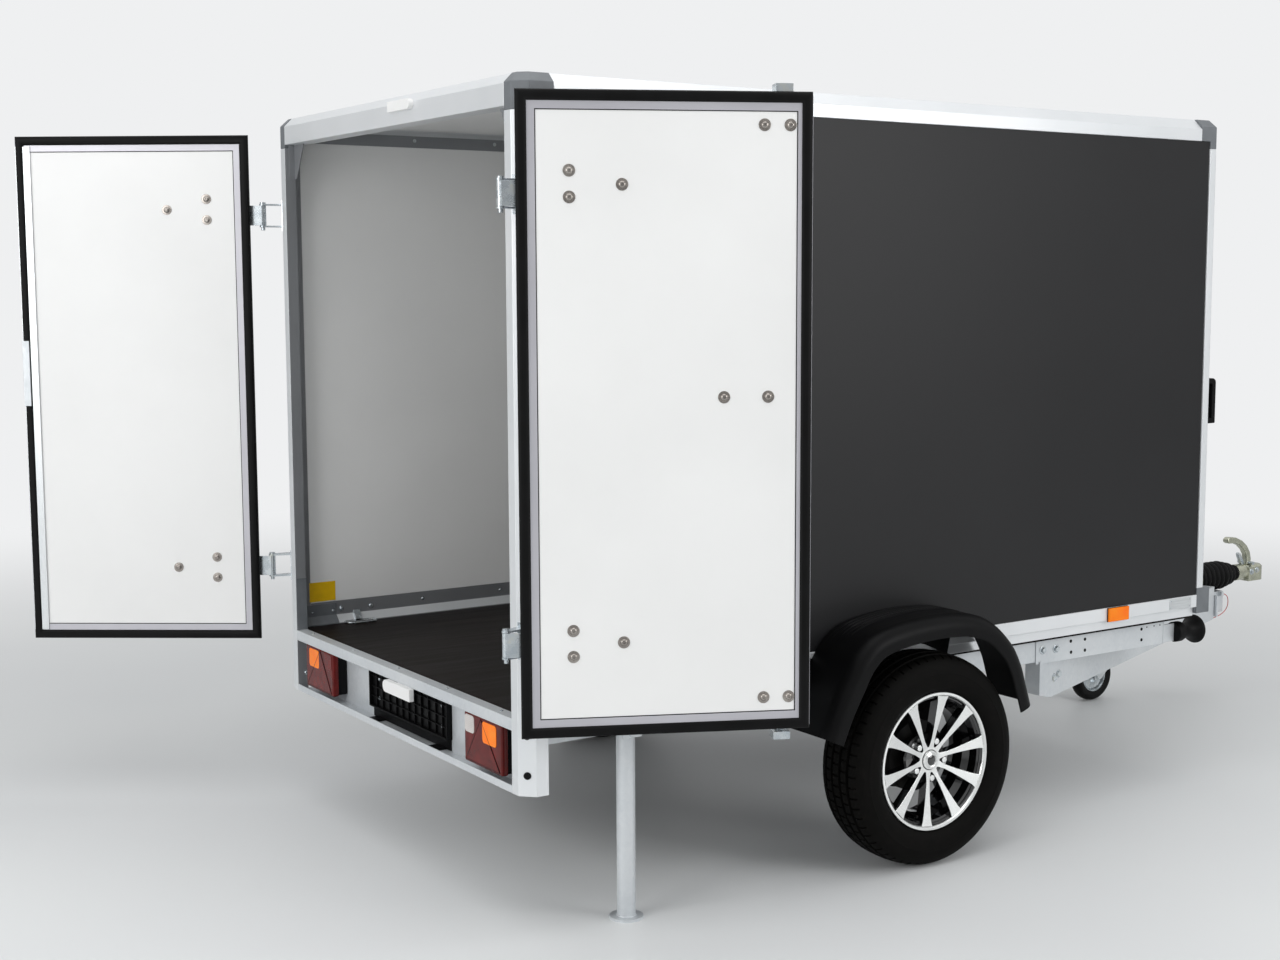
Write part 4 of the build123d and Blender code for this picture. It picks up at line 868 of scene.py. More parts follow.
CAP = ((0.0, 0.0460), (0.0280, 0.0460), (0.0282, 0.0520), (0.0268, 0.0545), (0.0235, 0.0550),
       (0.0220, 0.0530), (0.0200, 0.0535), (0.0150, 0.0570), (0.0070, 0.0588), (0.0, 0.0592))
FLANGE_FROM, HUB_FACE, CAP_RING = 0.1885, 0.0490, (0.0120, 0.0280)


def from_axle(middle):
    """How far a face's middle is from the wheel's axle."""
    return hypot(middle.y - HUB.y, middle.z - HUB.z)


barrel = painted(turning(BARREL, (1, 0, 0), HUB, steps=96), "gloss_black")
painted(barrel, "cut_alloy", lambda middle, normal: normal.x > 0.35 and from_axle(middle) > FLANGE_FROM)

hub = painted(turning(HUB_PLATE, (1, 0, 0), HUB, steps=64), "gloss_black")
painted(hub, "cut_alloy", lambda middle, normal: normal.x > 0.6 and middle.x - HUB.x > HUB_FACE)

cap = painted(turning(CAP, (1, 0, 0), HUB, steps=48), "gloss_black")
painted(cap, "cut_alloy", lambda middle, normal: CAP_RING[0] < from_axle(middle) < CAP_RING[1]
        and normal.x > 0.3)
print("barrel, hub and cap turned")

# %% Ten spokes
SPOKE_EDGE = ((0.0340, 0.0100), (0.0450, 0.0080), (0.0620, 0.0064), (0.0900, 0.0075), (0.1200, 0.0101),
              (0.1500, 0.0131), (0.1740, 0.0162), (0.1890, 0.0210))
SPOKES, FIRST_BOLT = 10, radians(26.5)
FACE_AT_HUB, FACE_AT_RIM, BACK_AT_HUB, BACK_AT_RIM = 0.0500, 0.0722, 0.0200, 0.0420

outline = [(HUB.y + side, HUB.z + radius) for radius, side in SPOKE_EDGE]
outline += [(HUB.y - side, HUB.z + radius) for radius, side in reversed(SPOKE_EDGE)]
spoke = plate(outline, 0, 0.0, 1.0)
for vertex in spoke.data.vertices:
    share = (vertex.co.z - HUB.z - SPOKE_EDGE[0][0]) / (SPOKE_EDGE[-1][0] - SPOKE_EDGE[0][0])
    front = FACE_AT_HUB + (FACE_AT_RIM - FACE_AT_HUB) * share
    behind = BACK_AT_HUB + (BACK_AT_RIM - BACK_AT_HUB) * share
    vertex.co.x = HUB.x + (front if vertex.co.x > 0.5 else behind)
eased(spoke, 0.0009)
painted(spoke, "gloss_black")
painted(spoke, "cut_alloy", lambda middle, normal: normal.x > 0.80)
spokes = ring_of(spoke, "X", HUB, SPOKES, first=-FIRST_BOLT - pi / SPOKES)
print(SPOKES, "spokes,", len(spokes.data.polygons), "faces")

# %% [markdown]
# Five wheel bolts, each in a pocket between two spokes. A bolt is a round-shouldered
# hexagon: a turning with six steps has six flats, and its round collar is a second one.

# %% Wheel bolts and valve
BOLT_CIRCLE, BOLTS = 0.0560, 5
bolt_spot = HUB + Vector((0, 0, BOLT_CIRCLE))
head = turning(((0.0, 0.030), (0.0105, 0.030), (0.0105, 0.0500), (0.0092, 0.0522), (0.0, 0.0530)),
               (1, 0, 0), bolt_spot, steps=6, smooth=None)
collar = turning(((0.0, 0.029), (0.0135, 0.029), (0.0135, 0.0320), (0.0115, 0.0345), (0.0, 0.0345)),
                 (1, 0, 0), bolt_spot, steps=24)
wheel_bolt = joined(eased(head, 0.0007), collar)
painted(wheel_bolt, "cut_alloy")
wheel_bolts = ring_of(wheel_bolt, "X", HUB, BOLTS, first=-FIRST_BOLT)

VALVE_ANGLE, VALVE_RADIUS = radians(200), 0.166
valve_spot = HUB + Vector((0, sin(VALVE_ANGLE) * VALVE_RADIUS, cos(VALVE_ANGLE) * VALVE_RADIUS))
valve = turning(((0.0, 0.024), (0.0055, 0.024), (0.0055, 0.036), (0.0038, 0.040), (0.0038, 0.052),
                 (0.0042, 0.053), (0.0042, 0.062), (0.0, 0.063)), (1, 0, 0), valve_spot, steps=16)
painted(valve, "rubber")

rim = joined(barrel, hub, cap, spokes, wheel_bolts, valve)
dressed(rim, "alloy_wheel_right", "wheel_right", "cut_alloy", "rim_right")
dressed(tyre, "treaded_tyre_right", "wheel_right", "tyre", "tyre_right")
dressed(mirrored(rim), "alloy_wheel_left", "wheel_left", "cut_alloy", "rim_left")
dressed(mirrored(tyre), "treaded_tyre_left", "wheel_left", "tyre", "tyre_left")
print("wheels on, rim", len(rim.data.polygons), "faces")

# %% [markdown]
# The mudguard is one vacuum-formed shell. Seen from the side it follows the tyre in a
# soft arch; across, it is flat, turns down over a round shoulder, and ends in a rolled
# lip. So a flat grid is laid along the arch, section by section, then given a wall with
# Solidify. Lengthwise ribs stiffen the top near the body, and a flat black cheek closes
# the arch against the sill.

# %% Mudguards
ARCH = ((0.834, 0.437), (0.866, 0.507), (0.908, 0.580), (0.958, 0.655), (1.035, 0.706),
        (1.185, 0.730), (1.345, 0.728), (1.455, 0.697), (1.540, 0.628), (1.583, 0.560),
        (1.606, 0.496), (1.627, 0.432))
GUARD_INSIDE, GUARD_OUTSIDE = HALF_WIDTH + 0.004, 0.965
SHOULDER, SKIRT, LIP, WALL = 0.042, 0.062, 0.005, 0.0035
RIB_HEIGHT, RIBS_ACROSS, RIB_MARGIN, RIB_BAND = 0.0035, 5, 0.012, 0.080
RIBS_FROM, RIBS_TO, RIB_FADE = 0.30, 0.62, 14
ALONG, ACROSS = 96, 72


def arch_point(share):
    """A point of the arch, and its direction, by a smooth curve through the drawn points."""
    spot = share * (len(ARCH) - 1)
    k = min(int(spot), len(ARCH) - 2)
    t = spot - k
    p = [Vector(ARCH[min(max(k + j, 0), len(ARCH) - 1)]) for j in (-1, 0, 1, 2)]
    place = 0.5 * ((2 * p[1]) + (p[2] - p[0]) * t + (2 * p[0] - 5 * p[1] + 4 * p[2] - p[3]) * t ** 2
                   + (3 * p[1] - p[0] - 3 * p[2] + p[3]) * t ** 3)
    heading = 0.5 * ((p[2] - p[0]) + 2 * (2 * p[0] - 5 * p[1] + 4 * p[2] - p[3]) * t
                     + 3 * (3 * p[1] - p[0] - 3 * p[2] + p[3]) * t ** 2)
    return place, heading.normalized()


def guard_section(share):
    """A point of the cross-section: its place across, and its drop towards the wheel."""
    flat = GUARD_OUTSIDE - SHOULDER - GUARD_INSIDE
    lengths = (flat, SHOULDER * pi / 2, SKIRT - SHOULDER, LIP)
    run = share * sum(lengths)
    if run < lengths[0]:
        return GUARD_INSIDE + run, 0.0
    run -= lengths[0]
    if run < lengths[1]:
        angle = run / SHOULDER
        return GUARD_OUTSIDE - SHOULDER + SHOULDER * sin(angle), SHOULDER * (1 - cos(angle))
    run -= lengths[1]
    if run < lengths[2]:
        return GUARD_OUTSIDE, SHOULDER + run
    return GUARD_OUTSIDE - 0.6 * (run - lengths[2]), SKIRT + 0.4 * (run - lengths[2])


bpy.ops.mesh.primitive_grid_add(x_subdivisions=ACROSS, y_subdivisions=ALONG, size=1)
guard = bpy.context.object
for vertex in guard.data.vertices:
    across, along = vertex.co.x + 0.5, vertex.co.y + 0.5
    (y, z), heading = arch_point(along)
    x, drop = guard_section(across)
    inwards = Vector((heading.y, -heading.x))
    band = (x - GUARD_INSIDE - RIB_MARGIN) / RIB_BAND
    if 0 < band < 1:
        rise = min(1, max(0, (along - RIBS_FROM) * RIB_FADE))
        fall = min(1, max(0, (RIBS_TO - along) * RIB_FADE))
        drop -= RIB_HEIGHT * (rise * fall) * max(0, sin(band * RIBS_ACROSS * tau)) ** 0.6
    vertex.co = at(x, y + inwards.x * drop, z + inwards.y * drop)
welded(guard)
modified(guard, "SOLIDIFY", thickness=WALL, offset=-1)
smoothed(guard, 50)
dressed(guard, "ribbed_mudguard_right", "chassis", "black_plastic", "mudguard_right")
dressed(mirrored(guard), "ribbed_mudguard_left", "chassis", "black_plastic", "mudguard_left")
print("mudguards:", len(guard.data.polygons), "faces each")

# %% Inner cheeks of the mudguards
CHEEK_RADIUS, CHEEK_FROM, CHEEK_TO, CHEEK_STEPS, CHEEK_GAP = 0.318, 0.225, 0.650, 16, 0.0005
CHEEK_REAR, CHEEK_FOOT, CHEEK_HEAD = 0.858, 0.560, 0.645
cheek_line = [Vector((CHEEK_REAR, CHEEK_FOOT)), Vector((CHEEK_REAR, CHEEK_HEAD))]
cheek_line += [arch_point(CHEEK_FROM + (CHEEK_TO - CHEEK_FROM) * k / CHEEK_STEPS)[0]
               for k in range(CHEEK_STEPS + 1)]
axle = Vector((HUB.y - REAR, HUB.z - FLOOR))
cheek_line += [axle + CHEEK_RADIUS * Vector((cos(radians(turn)), sin(radians(turn))))
               for turn in range(53, 144, 9)]
cheek = plate([(REAR + y, FLOOR + z) for y, z in cheek_line], 0, HALF_WIDTH + CHEEK_GAP,
              GUARD_INSIDE - CHEEK_GAP)
dressed(cheek, "mudguard_cheek_right", "chassis", "black_plastic")
dressed(mirrored(cheek), "mudguard_cheek_left", "chassis", "black_plastic")
print("inner cheeks: flat sheets between the arch and the tyre")

# %% [markdown]
# The bolts that show are few but they catch the light. A dome-headed bolt is a washer,
# a dome, and a hexagon socket sunk into it. It is drawn once, looking along +Y, and a
# matrix places every copy.

# %% One bolt, many copies
def dome_bolt(radius, height, axis=(0, 1, 0)):
    """A washer with a domed head, seated at the origin and looking along an axis."""
    section = ((0.0, 0.0), (radius, 0.0), (radius, 0.08 * radius), (0.96 * radius, 0.14 * radius),
               (0.74 * radius, 0.16 * radius), (0.72 * radius, 0.45 * height),
               (0.60 * radius, 0.80 * height), (0.42 * radius, height), (0.24 * radius, height),
               (0.22 * radius, 0.55 * height), (0.0, 0.50 * height))
    return turning(section, axis, (0, 0, 0), steps=20)


def hex_bolt(radius, height, axis=(0, 1, 0)):
    """A round washer with a six-sided head, seated at the origin and looking along an axis."""
    washer = turning(((0.0, 0.0), (1.45 * radius, 0.0), (1.45 * radius, 0.0016), (1.35 * radius, 0.0022),
                      (0.0, 0.0022)), axis, (0, 0, 0), steps=20)
    head = turning(((0.0, 0.002), (radius, 0.002), (radius, 0.85 * height), (0.88 * radius, height),
                    (0.0, height)), axis, (0, 0, 0), steps=6, smooth=None)
    return joined(washer, smoothed(head, 25))


def studded(bolt, spots):
    """Copies of a bolt at the given points, joined, and the pattern taken away."""
    row = joined(*[copied(bolt, Matrix.Translation(Vector(spot))) for spot in spots])
    discarded(bolt)
    return row


# %% [markdown]
# The two rear lamps are mirror twins. A black housing is let into the light beam and
# carries one red lens with rounded edges; the indicator and the small window beside it
# are separate lenses that stand a little proud, and a triangular reflector with a raised
# rim fills the rest.

# %% Rear lamps
WINDOW_CORNER = 0.010
LAMP_LOW, LAMP_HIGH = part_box("tail_lamp_right")
lamp_inner, lamp_outer = LAMP_LOW.x, LAMP_HIGH.x
lamp_foot, lamp_top = LAMP_LOW.z - FLOOR, LAMP_HIGH.z - FLOOR
LENS_FACE, LENS_BACK, HOUSING_BACK = 0.0045, 0.026, 0.055


def lamp_window(x0, x1, z0, z1, face, short, proud=0.0015):
    """A small lens with round corners, set into the face of a lamp."""
    turns = [radians(angle) for angle in range(0, 91, 18)]
    corners = ((x1, z1, 1, 1), (x0, z1, -1, 1), (x0, z0, -1, -1), (x1, z0, 1, -1))
    outline = []
    for k, (x, z, right, up) in enumerate(corners):
        arc = turns if k % 2 == 0 else reversed(turns)
        outline += [(x - right * WINDOW_CORNER * (1 - cos(t)),
                     FLOOR + z - up * WINDOW_CORNER * (1 - sin(t))) for t in arc]
    return painted(plate(outline, 1, REAR + face - proud, REAR + face + 0.004, 0.0010), short)


def rear_lamp(window):
    """The right-hand lamp, with red, or clear for reversing, in its inner window."""
    split = lamp_inner + 0.46 * (lamp_outer - lamp_inner)
    housing = block(at(lamp_inner + 0.003, LENS_BACK - 0.004, lamp_foot + 0.003),
                    at(lamp_outer - 0.003, HOUSING_BACK, lamp_top - 0.003), 0.005)
    painted(housing, "black_plastic")
    lens = block(at(lamp_inner, LENS_FACE, lamp_foot), at(lamp_outer, LENS_BACK, lamp_top), 0.006, 4)
    painted(lens, "red_lens")
    indicator = lamp_window(lamp_outer - 0.104, lamp_outer - 0.028, lamp_top - 0.066, lamp_top - 0.008,
                            LENS_FACE, "amber_lens")
    inner = lamp_window(lamp_inner + 0.006, lamp_inner + 0.058, lamp_top - 0.054, lamp_top - 0.006,
                        LENS_FACE, window)
    top, left, right = (split, lamp_top - 0.006), (lamp_inner + 0.012, lamp_foot + 0.008), (
        lamp_outer - 0.010, lamp_foot + 0.008)
    reflector = plate([(x, FLOOR + z) for x, z in (top, left, right)], 1, REAR + LENS_FACE - 0.0012,
                      REAR + LENS_FACE + 0.002, 0.0010)
    painted(reflector, "red_lens")
    rims = []
    for (x0, z0), (x1, z1) in ((top, left), (left, right), (right, top)):
        bar = pipe([at(x0, LENS_FACE - 0.0008, z0), at((x0 + x1) / 2, LENS_FACE - 0.0008, (z0 + z1) / 2),
                    at(x1, LENS_FACE - 0.0008, z1)], 0.0011, "rim", 8)
        rims.append(painted(bar, "black_plastic"))
    return joined(lens, housing, indicator, inner, reflector, *rims)


dressed(rear_lamp("clear_lens"), "rear_lamp_right", "chassis", "red_lens", "tail_lamp_right")
left_pattern = rear_lamp("red_lens")
dressed(mirrored(left_pattern), "rear_lamp_left", "chassis", "red_lens", "tail_lamp_left")
discarded(left_pattern)
print("rear lamps", round(lamp_outer - lamp_inner, 3), "m wide")

# %% [markdown]
# The number-plate carrier is a black moulding with nothing on it: a rim, a grid of thin
# ribs that would hold the plate, a plain black panel below that is painted shade for the
# dark gap down to the light beam, and two feet on the light beam.

# %% Number-plate carrier
PLATE_LOW, PLATE_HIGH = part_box("plate_holder")
x0, x1 = PLATE_LOW.x, PLATE_HIGH.x
z0, z1 = PLATE_LOW.z - FLOOR, PLATE_HIGH.z - FLOOR
BACK, SKIN, RIM_FACE, RIB_FACE = 0.056, 0.050, 0.038, 0.044
RIM, RIB_HALF, RIB_ROOT, RIB_END = 0.005, 0.0011, 0.002, 0.004
parts = [block(at(x0, SKIN, z0), at(x1, BACK, z1), 0.002)]
section = ((0.0, 0.0), (RIM, 0.0), (RIM, BACK - RIM_FACE), (0.0, BACK - RIM_FACE))
frame_rim = moulding(section, at(x0, RIM_FACE, z0), at(x1, RIM_FACE, z1), 1)
parts.append(eased(frame_rim, 0.0015))
COLUMNS = (0.08, 0.16, 0.25, 0.34, 0.42, 0.50, 0.58, 0.66, 0.75, 0.84, 0.92)
ROWS = (0.26, 0.50, 0.76)
for share in COLUMNS:
    x = x0 + share * (x1 - x0)
    parts.append(block(at(x - RIB_HALF, RIB_FACE, z0 + RIB_END),
                       at(x + RIB_HALF, SKIN + RIB_ROOT, z1 - RIB_END), 0.0006, 1))
for share in ROWS:
    z = z0 + share * (z1 - z0)
    parts.append(block(at(x0 + RIB_END, RIB_FACE, z - RIB_HALF),
                       at(x1 - RIB_END, SKIN + RIB_ROOT, z + RIB_HALF), 0.0006, 1))
BEAM_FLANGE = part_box("light_beam")[0].z - FLOOR + 0.004
# The panel below is painted shade: a black sheet filling the dark gap between the carrier and the light beam's
# flange.
parts.append(block(at(x0 + RIB_END, BACK - RIM, BEAM_FLANGE + 0.001),
                   at(x1 - RIB_END, BACK, z0 + RIB_END), 0.0015))
for x in (x0 + 0.030, x1 - 0.085):
    parts.append(block(at(x, 0.022, BEAM_FLANGE), at(x + 0.055, BACK, BEAM_FLANGE + 0.005), 0.0015))
carrier = joined(*[painted(part, "black_plastic") for part in parts])
dressed(carrier, "number_plate_carrier", "chassis", "black_plastic", "plate_holder")

clips = studded(painted(dome_bolt(0.006, 0.003, (0, -1, 0)), "zinc"),
                [at(x, SKIN, z) for x in (x0 + 0.05, x1 - 0.05) for z in (z0 + 0.030, z1 - 0.035)])
dressed(clips, "plate_carrier_screws", "chassis", "zinc")
print("plate carrier", round(x1 - x0, 3), "m wide")

# %% [markdown]
# Two black plugs sit in the chamfer of each rear post, where the light beam is bolted
# through, and the inner face of each post shows two bolts beside the lamp.

# %% Post plugs and beam bolts
CHAMFER = 0.035
CORNER = HALF_WIDTH - CHAMFER / 2
slant = (sin(pi / 4), -cos(pi / 4), 0)
PLUG_HEIGHTS = (0.420, 0.524)
PLUG = ((0.0, 0.0), (0.0100, 0.0), (0.0100, 0.0022), (0.0080, 0.0036), (0.0, 0.0036))
plugs = studded(painted(turning(PLUG, slant, (0, 0, 0), steps=24), "black_plastic"),
                [at(CORNER, CHAMFER / 2, z) for z in PLUG_HEIGHTS])
dressed(plugs, "post_plugs_right", "chassis", "black_plastic")
dressed(mirrored(plugs), "post_plugs_left", "chassis", "black_plastic")

POST_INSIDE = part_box("posts_rear")[1].x - 0.068
inner_bolts = studded(painted(dome_bolt(0.0085, 0.005, (-1, 0, 0)), "zinc"),
                      [at(POST_INSIDE, 0.028, z) for z in PLUG_HEIGHTS])
dressed(inner_bolts, "beam_bolts_right", "chassis", "zinc")
dressed(mirrored(inner_bolts), "beam_bolts_left", "chassis", "zinc")
print("plugs and bolts on both rear posts")

# %% [markdown]
# The doors. Each is a white sandwich board in an aluminium frame, with a rubber seal
# that laps round the frame's edge. A door is modelled shut, where its sizes are easy to
# read, and is then swung open round its hinge pins. The left door is the right one
# mirrored, with a wide striking edge where the right one closes on it.

# %% Door sizes, and the swing
FREE_EDGE, HINGE_EDGE = 0.005, 0.733
DOOR_LOW, DOOR_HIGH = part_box("door_right_frame")
door_foot, door_head = DOOR_LOW.z - FLOOR, DOOR_HIGH.z - FLOOR
FACE_OUT, FACE_IN = -0.036, -0.014
BORDER, REBATE, SEAL_IN = 0.040, 0.0018, 0.0096


def swung(piece, side):
    """A piece of a shut door, mirrored if it is the left one, swung open round the pins."""
    hinge = joints["door_" + side + "_hinge"]
    opened = -radians(hinge["range_deg"][0]) * hinge["axis"][2]
    if side == "left":
        pattern, piece = piece, mirrored(piece)
        discarded(pattern)
    pin = Vector(hinge["pos_m"])
    turn = Matrix.Rotation(opened, 4, "Z")
    piece.data.transform(Matrix.Translation(pin) @ turn @ Matrix.Translation(-pin))
    return piece


def door_board():
    """The sandwich board: white inside and on its edges, black outside."""
    piece = block(at(FREE_EDGE + BORDER, FACE_OUT + 0.001, door_foot + BORDER),
                  at(HINGE_EDGE - BORDER, FACE_IN - REBATE, door_head - BORDER), 0.0006, 1)
    painted(piece, "white_skin")
    return painted(piece, "black_skin", lambda middle, normal: normal.y < -0.5)


def door_frame():
    """The mitred aluminium frame, with a step that the board sits in."""
    depth = FACE_IN - FACE_OUT
    section = ((0.0, 0.0), (BORDER + 0.006, 0.0), (BORDER + 0.006, 0.001), (BORDER - 0.002, 0.001),
               (BORDER - 0.002, depth), (0.0, depth))
    piece = moulding(section, at(FREE_EDGE, FACE_OUT, door_foot), at(HINGE_EDGE, FACE_OUT, door_head), 1)
    return eased(painted(piece, "anodised_grey"), 0.0007)


def board_bead():
    """The thin dark gasket between board and frame."""
    section = ((0.0, 0.0), (0.0021, 0.0), (0.0021, 0.0040), (0.0, 0.0040))
    inset = BORDER - 0.0021
    piece = moulding(section, at(FREE_EDGE + inset, FACE_IN - 0.0045, door_foot + inset),
                     at(HINGE_EDGE - inset, FACE_IN - 0.0045, door_head - inset), 1)
    return painted(piece, "rubber")


def door_seal():
    """The black rubber profile: a bulb on the face, and a lip that laps the frame's edge."""
    section = ((-0.0045, 0.006), (-0.0085, 0.012), (-0.0095, 0.018), (-0.0080, 0.0245), (-0.0040, 0.0285),
               (0.0030, 0.0298), (0.0110, 0.0290), (0.0160, 0.0262), (0.0185, 0.0222), (0.0, 0.0222),
               (-0.0003, 0.0222), (-0.0003, 0.006))
    piece = moulding(section, at(FREE_EDGE + SEAL_IN, FACE_OUT, door_foot),
                     at(HINGE_EDGE, FACE_OUT, door_head), 1)
    return smoothed(painted(piece, "rubber"), 50)


# %% [markdown]
# Bolts come through the board wherever something is fixed outside: three at each hinge
# strap, two at each end of the lock rod, and two at its handle. The domed heads show
# inside, each on a flat washer, and low heads show outside.

# %% Door bolts
RIGHT_BOLTS = ((0.612, 1.943), (0.612, 1.879), (0.482, 1.910), (0.127, 2.056), (0.062, 2.056),
               (0.228, 1.387), (0.116, 1.387), (0.610, 0.808), (0.610, 0.742), (0.483, 0.775),
               (0.125, 0.621), (0.060, 0.621))
LEFT_BOLTS = ((0.480, 1.907), (0.606, 1.940), (0.606, 1.875), (0.481, 0.769), (0.606, 0.802),
              (0.606, 0.736))


def door_bolts(spots):
    """Domed heads on the inner face, with a flat washer below each."""
    washer = turning(((0.0, 0.0), (0.0155, 0.0), (0.0155, 0.0010), (0.0148, 0.0014), (0.0, 0.0014)),
                     (0, 1, 0), (0, 0, 0), steps=24)
    head = dome_bolt(0.0128, 0.0070)
    pattern = painted(joined(washer, head), "stainless")
    return studded(pattern, [at(x, FACE_IN - REBATE, z) for x, z in spots])


def outer_bolts(spots):
    """Low flush heads on the outer face."""
    pattern = painted(dome_bolt(0.0085, 0.0030, (0, -1, 0)), "zinc")
    return studded(pattern, [at(x, FACE_OUT, z) for x, z in spots if x < 0.45])


def dress_door(side, spots):
    """Makes, swings and names the pieces that both doors have."""
    body = "door_" + side
    dressed(swung(door_board(), side), side + "_door_board", body, "white_skin", body + "_panel")
    dressed(swung(door_frame(), side), side + "_door_frame", body, "anodised_grey", body + "_frame")
    dressed(swung(board_bead(), side), side + "_door_board_gasket", body, "rubber")
    dressed(swung(door_seal(), side), side + "_door_seal", body, "rubber", body + "_seal")
    dressed(swung(door_bolts(spots), side), side + "_door_bolts", body, "stainless")


dress_door("right", RIGHT_BOLTS)
dress_door("left", LEFT_BOLTS)
dressed(swung(outer_bolts(RIGHT_BOLTS), "right"), "right_door_outer_bolts", "door_right", "zinc")
print("doors hung, with", len(RIGHT_BOLTS) + len(LEFT_BOLTS), "bolts inside")

# %% [markdown]
# The left door's free edge carries a bright aluminium striking profile about five
# centimetres wide, and a zinc striking plate halfway up. The right door closes over it.

# %% Striking profile of the left door
EDGE_WIDTH = 0.048
profile = block(at(FREE_EDGE + 0.001, FACE_IN - 0.002, door_foot + 0.020),
                at(FREE_EDGE + EDGE_WIDTH, FACE_IN + 0.0040, door_head - 0.022), 0.0012)
dressed(swung(painted(profile, "type_plate"), "left"), "left_door_striking_profile", "door_left",
        "type_plate")
PLATE_FOOT, PLATE_HEAD, PLATE_WIDTH = 1.290, 1.497, 0.022
strike = block(at(FREE_EDGE, FACE_IN + 0.0030, PLATE_FOOT),
               at(FREE_EDGE + PLATE_WIDTH, FACE_IN + 0.0085, PLATE_HEAD), 0.0012)
dressed(swung(painted(strike, "galvanised"), "left"), "left_door_strike_plate", "door_left", "galvanised",
        "door_left_strike")
print("striking profile", EDGE_WIDTH, "m wide")

# %% [markdown]
# The box. Walls and front are sandwich boards with a black skin outside and a white one
# inside, so each is copied from the frame and its outward face is painted black.

# %% Walls and front
for node, axis, sign in (("wall_left", 0, -1), ("wall_right", 0, 1), ("wall_front", 1, 1)):
    board = softened(node, "white_skin", SHEET)
    painted(board, "black_skin", lambda middle, normal: normal[axis] * sign > 0.5)
print("boards: black outside, white inside")

# %% Painted shade on the inner legs
def on_inner_leg(middle, normal):
    """True for a face inside the load space that looks across it."""
    return abs(middle.x) < WALL_INSIDE + 0.0005 and normal.x * middle.x < 0 and abs(normal.x) > 0.9


# The inner legs of the rear posts and of the rails get the darker grey, painted shade inside the load space.
for node, short in (("posts_rear", "painted_shade_z"), ("sill_rails", "painted_shade_y"), ("roof_rails", "painted_shade_y")):
    painted(bpy.data.objects[node + "_eased"], short, on_inner_leg)
print("inner legs given painted shade")

# %% [markdown]
# Inside, a row of screws holds each roof rail and each sill profile to the wall, every
# thirty centimetres, and four lashing rings a side lie folded down on the floor.

# %% Screw rows
SILL_SCREW, RAIL_SCREW, SCREW_PITCH, FIRST_SCREW = 0.611, 2.142, 0.30, 0.176
screw_count = int((FRONT - REAR - 0.25) / SCREW_PITCH) + 1
along = [FIRST_SCREW + SCREW_PITCH * k for k in range(screw_count)]
rows = []
for side in (-1, 1):
    screw = painted(dome_bolt(0.0062, 0.0028, (-side, 0, 0)), "zinc")
    rows.append(studded(screw, [at(side * WALL_INSIDE, y, z)
                                for y in along for z in (SILL_SCREW, RAIL_SCREW)]))
dressed(joined(*rows), "wall_screws", "chassis", "zinc")
print(len(along) * 4, "screws")

# %% Lashing rings
RING_HALF, RING_WIRE, SADDLE_HALF, RING_BOLT = 0.052, 0.0032, 0.012, 0.607
RING_PLACES = (0.230, 0.930, 1.700, 2.440)
KICK_FOOT, KICK_TOP = WALL_INSIDE - 0.022, 0.589


def lashing_ring(side, y):
    """A wire ring folded down to the floor under a saddle, between two bolts in the wall."""
    z = LOAD_FLOOR - FLOOR + 0.004
    inner, outer = KICK_FOOT - 0.036, KICK_FOOT + 0.004
    loop = [(outer, -0.8), (outer, -1.0), (inner + 0.012, -1.0), (inner, -0.8), (inner, 0.8),
            (inner + 0.012, 1.0), (outer, 1.0), (outer, 0.8), (outer, 0.0), (outer, -0.8)]
    ring = pipe([at(side * x, y + share * RING_HALF, z) for x, share in loop], RING_WIRE, "ring")
    bend = [(WALL_INSIDE - 0.0015, KICK_TOP + 0.010), (WALL_INSIDE, KICK_TOP), (KICK_FOOT, z - 0.001),
            (KICK_FOOT - 0.004, z + 0.006)]
    saddle = plate([(side * x, FLOOR + height) for x, height in bend], 1,
                   REAR + y - SADDLE_HALF, REAR + y + SADDLE_HALF, 0.0008)
    bolts = studded(dome_bolt(0.0085, 0.0050, (-side, 0, 0)),
                    [at(side * WALL_INSIDE, y + dy, RING_BOLT) for dy in (-0.054, 0.053)])
    return [painted(part, "zinc") for part in (ring, saddle, bolts)]


rings = [part for side in (-1, 1) for y in RING_PLACES for part in lashing_ring(side, y)]
dressed(joined(*rings), "lashing_rings", "chassis", "zinc")
print(2 * len(RING_PLACES), "lashing rings")

# %% [markdown]
# Where the rear posts meet the floor, a grey plastic foot covers the inner leg of the
# post, and a moulded corner plate with two screws closes the end of the kick profile.

# %% Post feet and corner plates
POST_LEG, RETURN, FOOT_HEAD, COVER = 0.707, 0.036, 0.730, 0.0015
END_HEAD, END_REACH = 0.628, 0.160
foot_z = LOAD_FLOOR - FLOOR + 0.0005
cover = block(at(POST_LEG - COVER, 0.001, foot_z), at(POST_LEG, RETURN + COVER, FOOT_HEAD), 0.0005, 1)
wrap = block(at(POST_LEG - COVER, RETURN, foot_z), at(WALL_INSIDE, RETURN + COVER, FOOT_HEAD), 0.0005, 1)
profile = ((WALL_INSIDE, END_HEAD), (WALL_INSIDE - COVER, END_HEAD),
           (WALL_INSIDE - COVER, KICK_TOP + 0.001), (KICK_FOOT - COVER, 0.5665),
           (KICK_FOOT - COVER, foot_z), (WALL_INSIDE, foot_z))
corner_plate = plate([(x, FLOOR + z) for x, z in profile], 1, REAR + RETURN + 0.001,
                     REAR + END_REACH, 0.0006)
screws = studded(painted(dome_bolt(0.0045, 0.0020, (-1, 0, 0)), "zinc"),
                 [at(WALL_INSIDE - COVER, 0.075, 0.602), at(WALL_INSIDE - COVER, 0.147, 0.604)])
foot = joined(*[painted(part, "grey_plastic") for part in (cover, wrap, corner_plate)], screws)
dressed(foot, "rear_corner_foot_right", "chassis", "grey_plastic")
dressed(mirrored(foot), "rear_corner_foot_left", "chassis", "grey_plastic")
print("corner feet and plates")

# %% [markdown]
# A flat gusset with a folded lip braces each rear corner under the header, and a yellow
# sticker on the left wall stays blank.

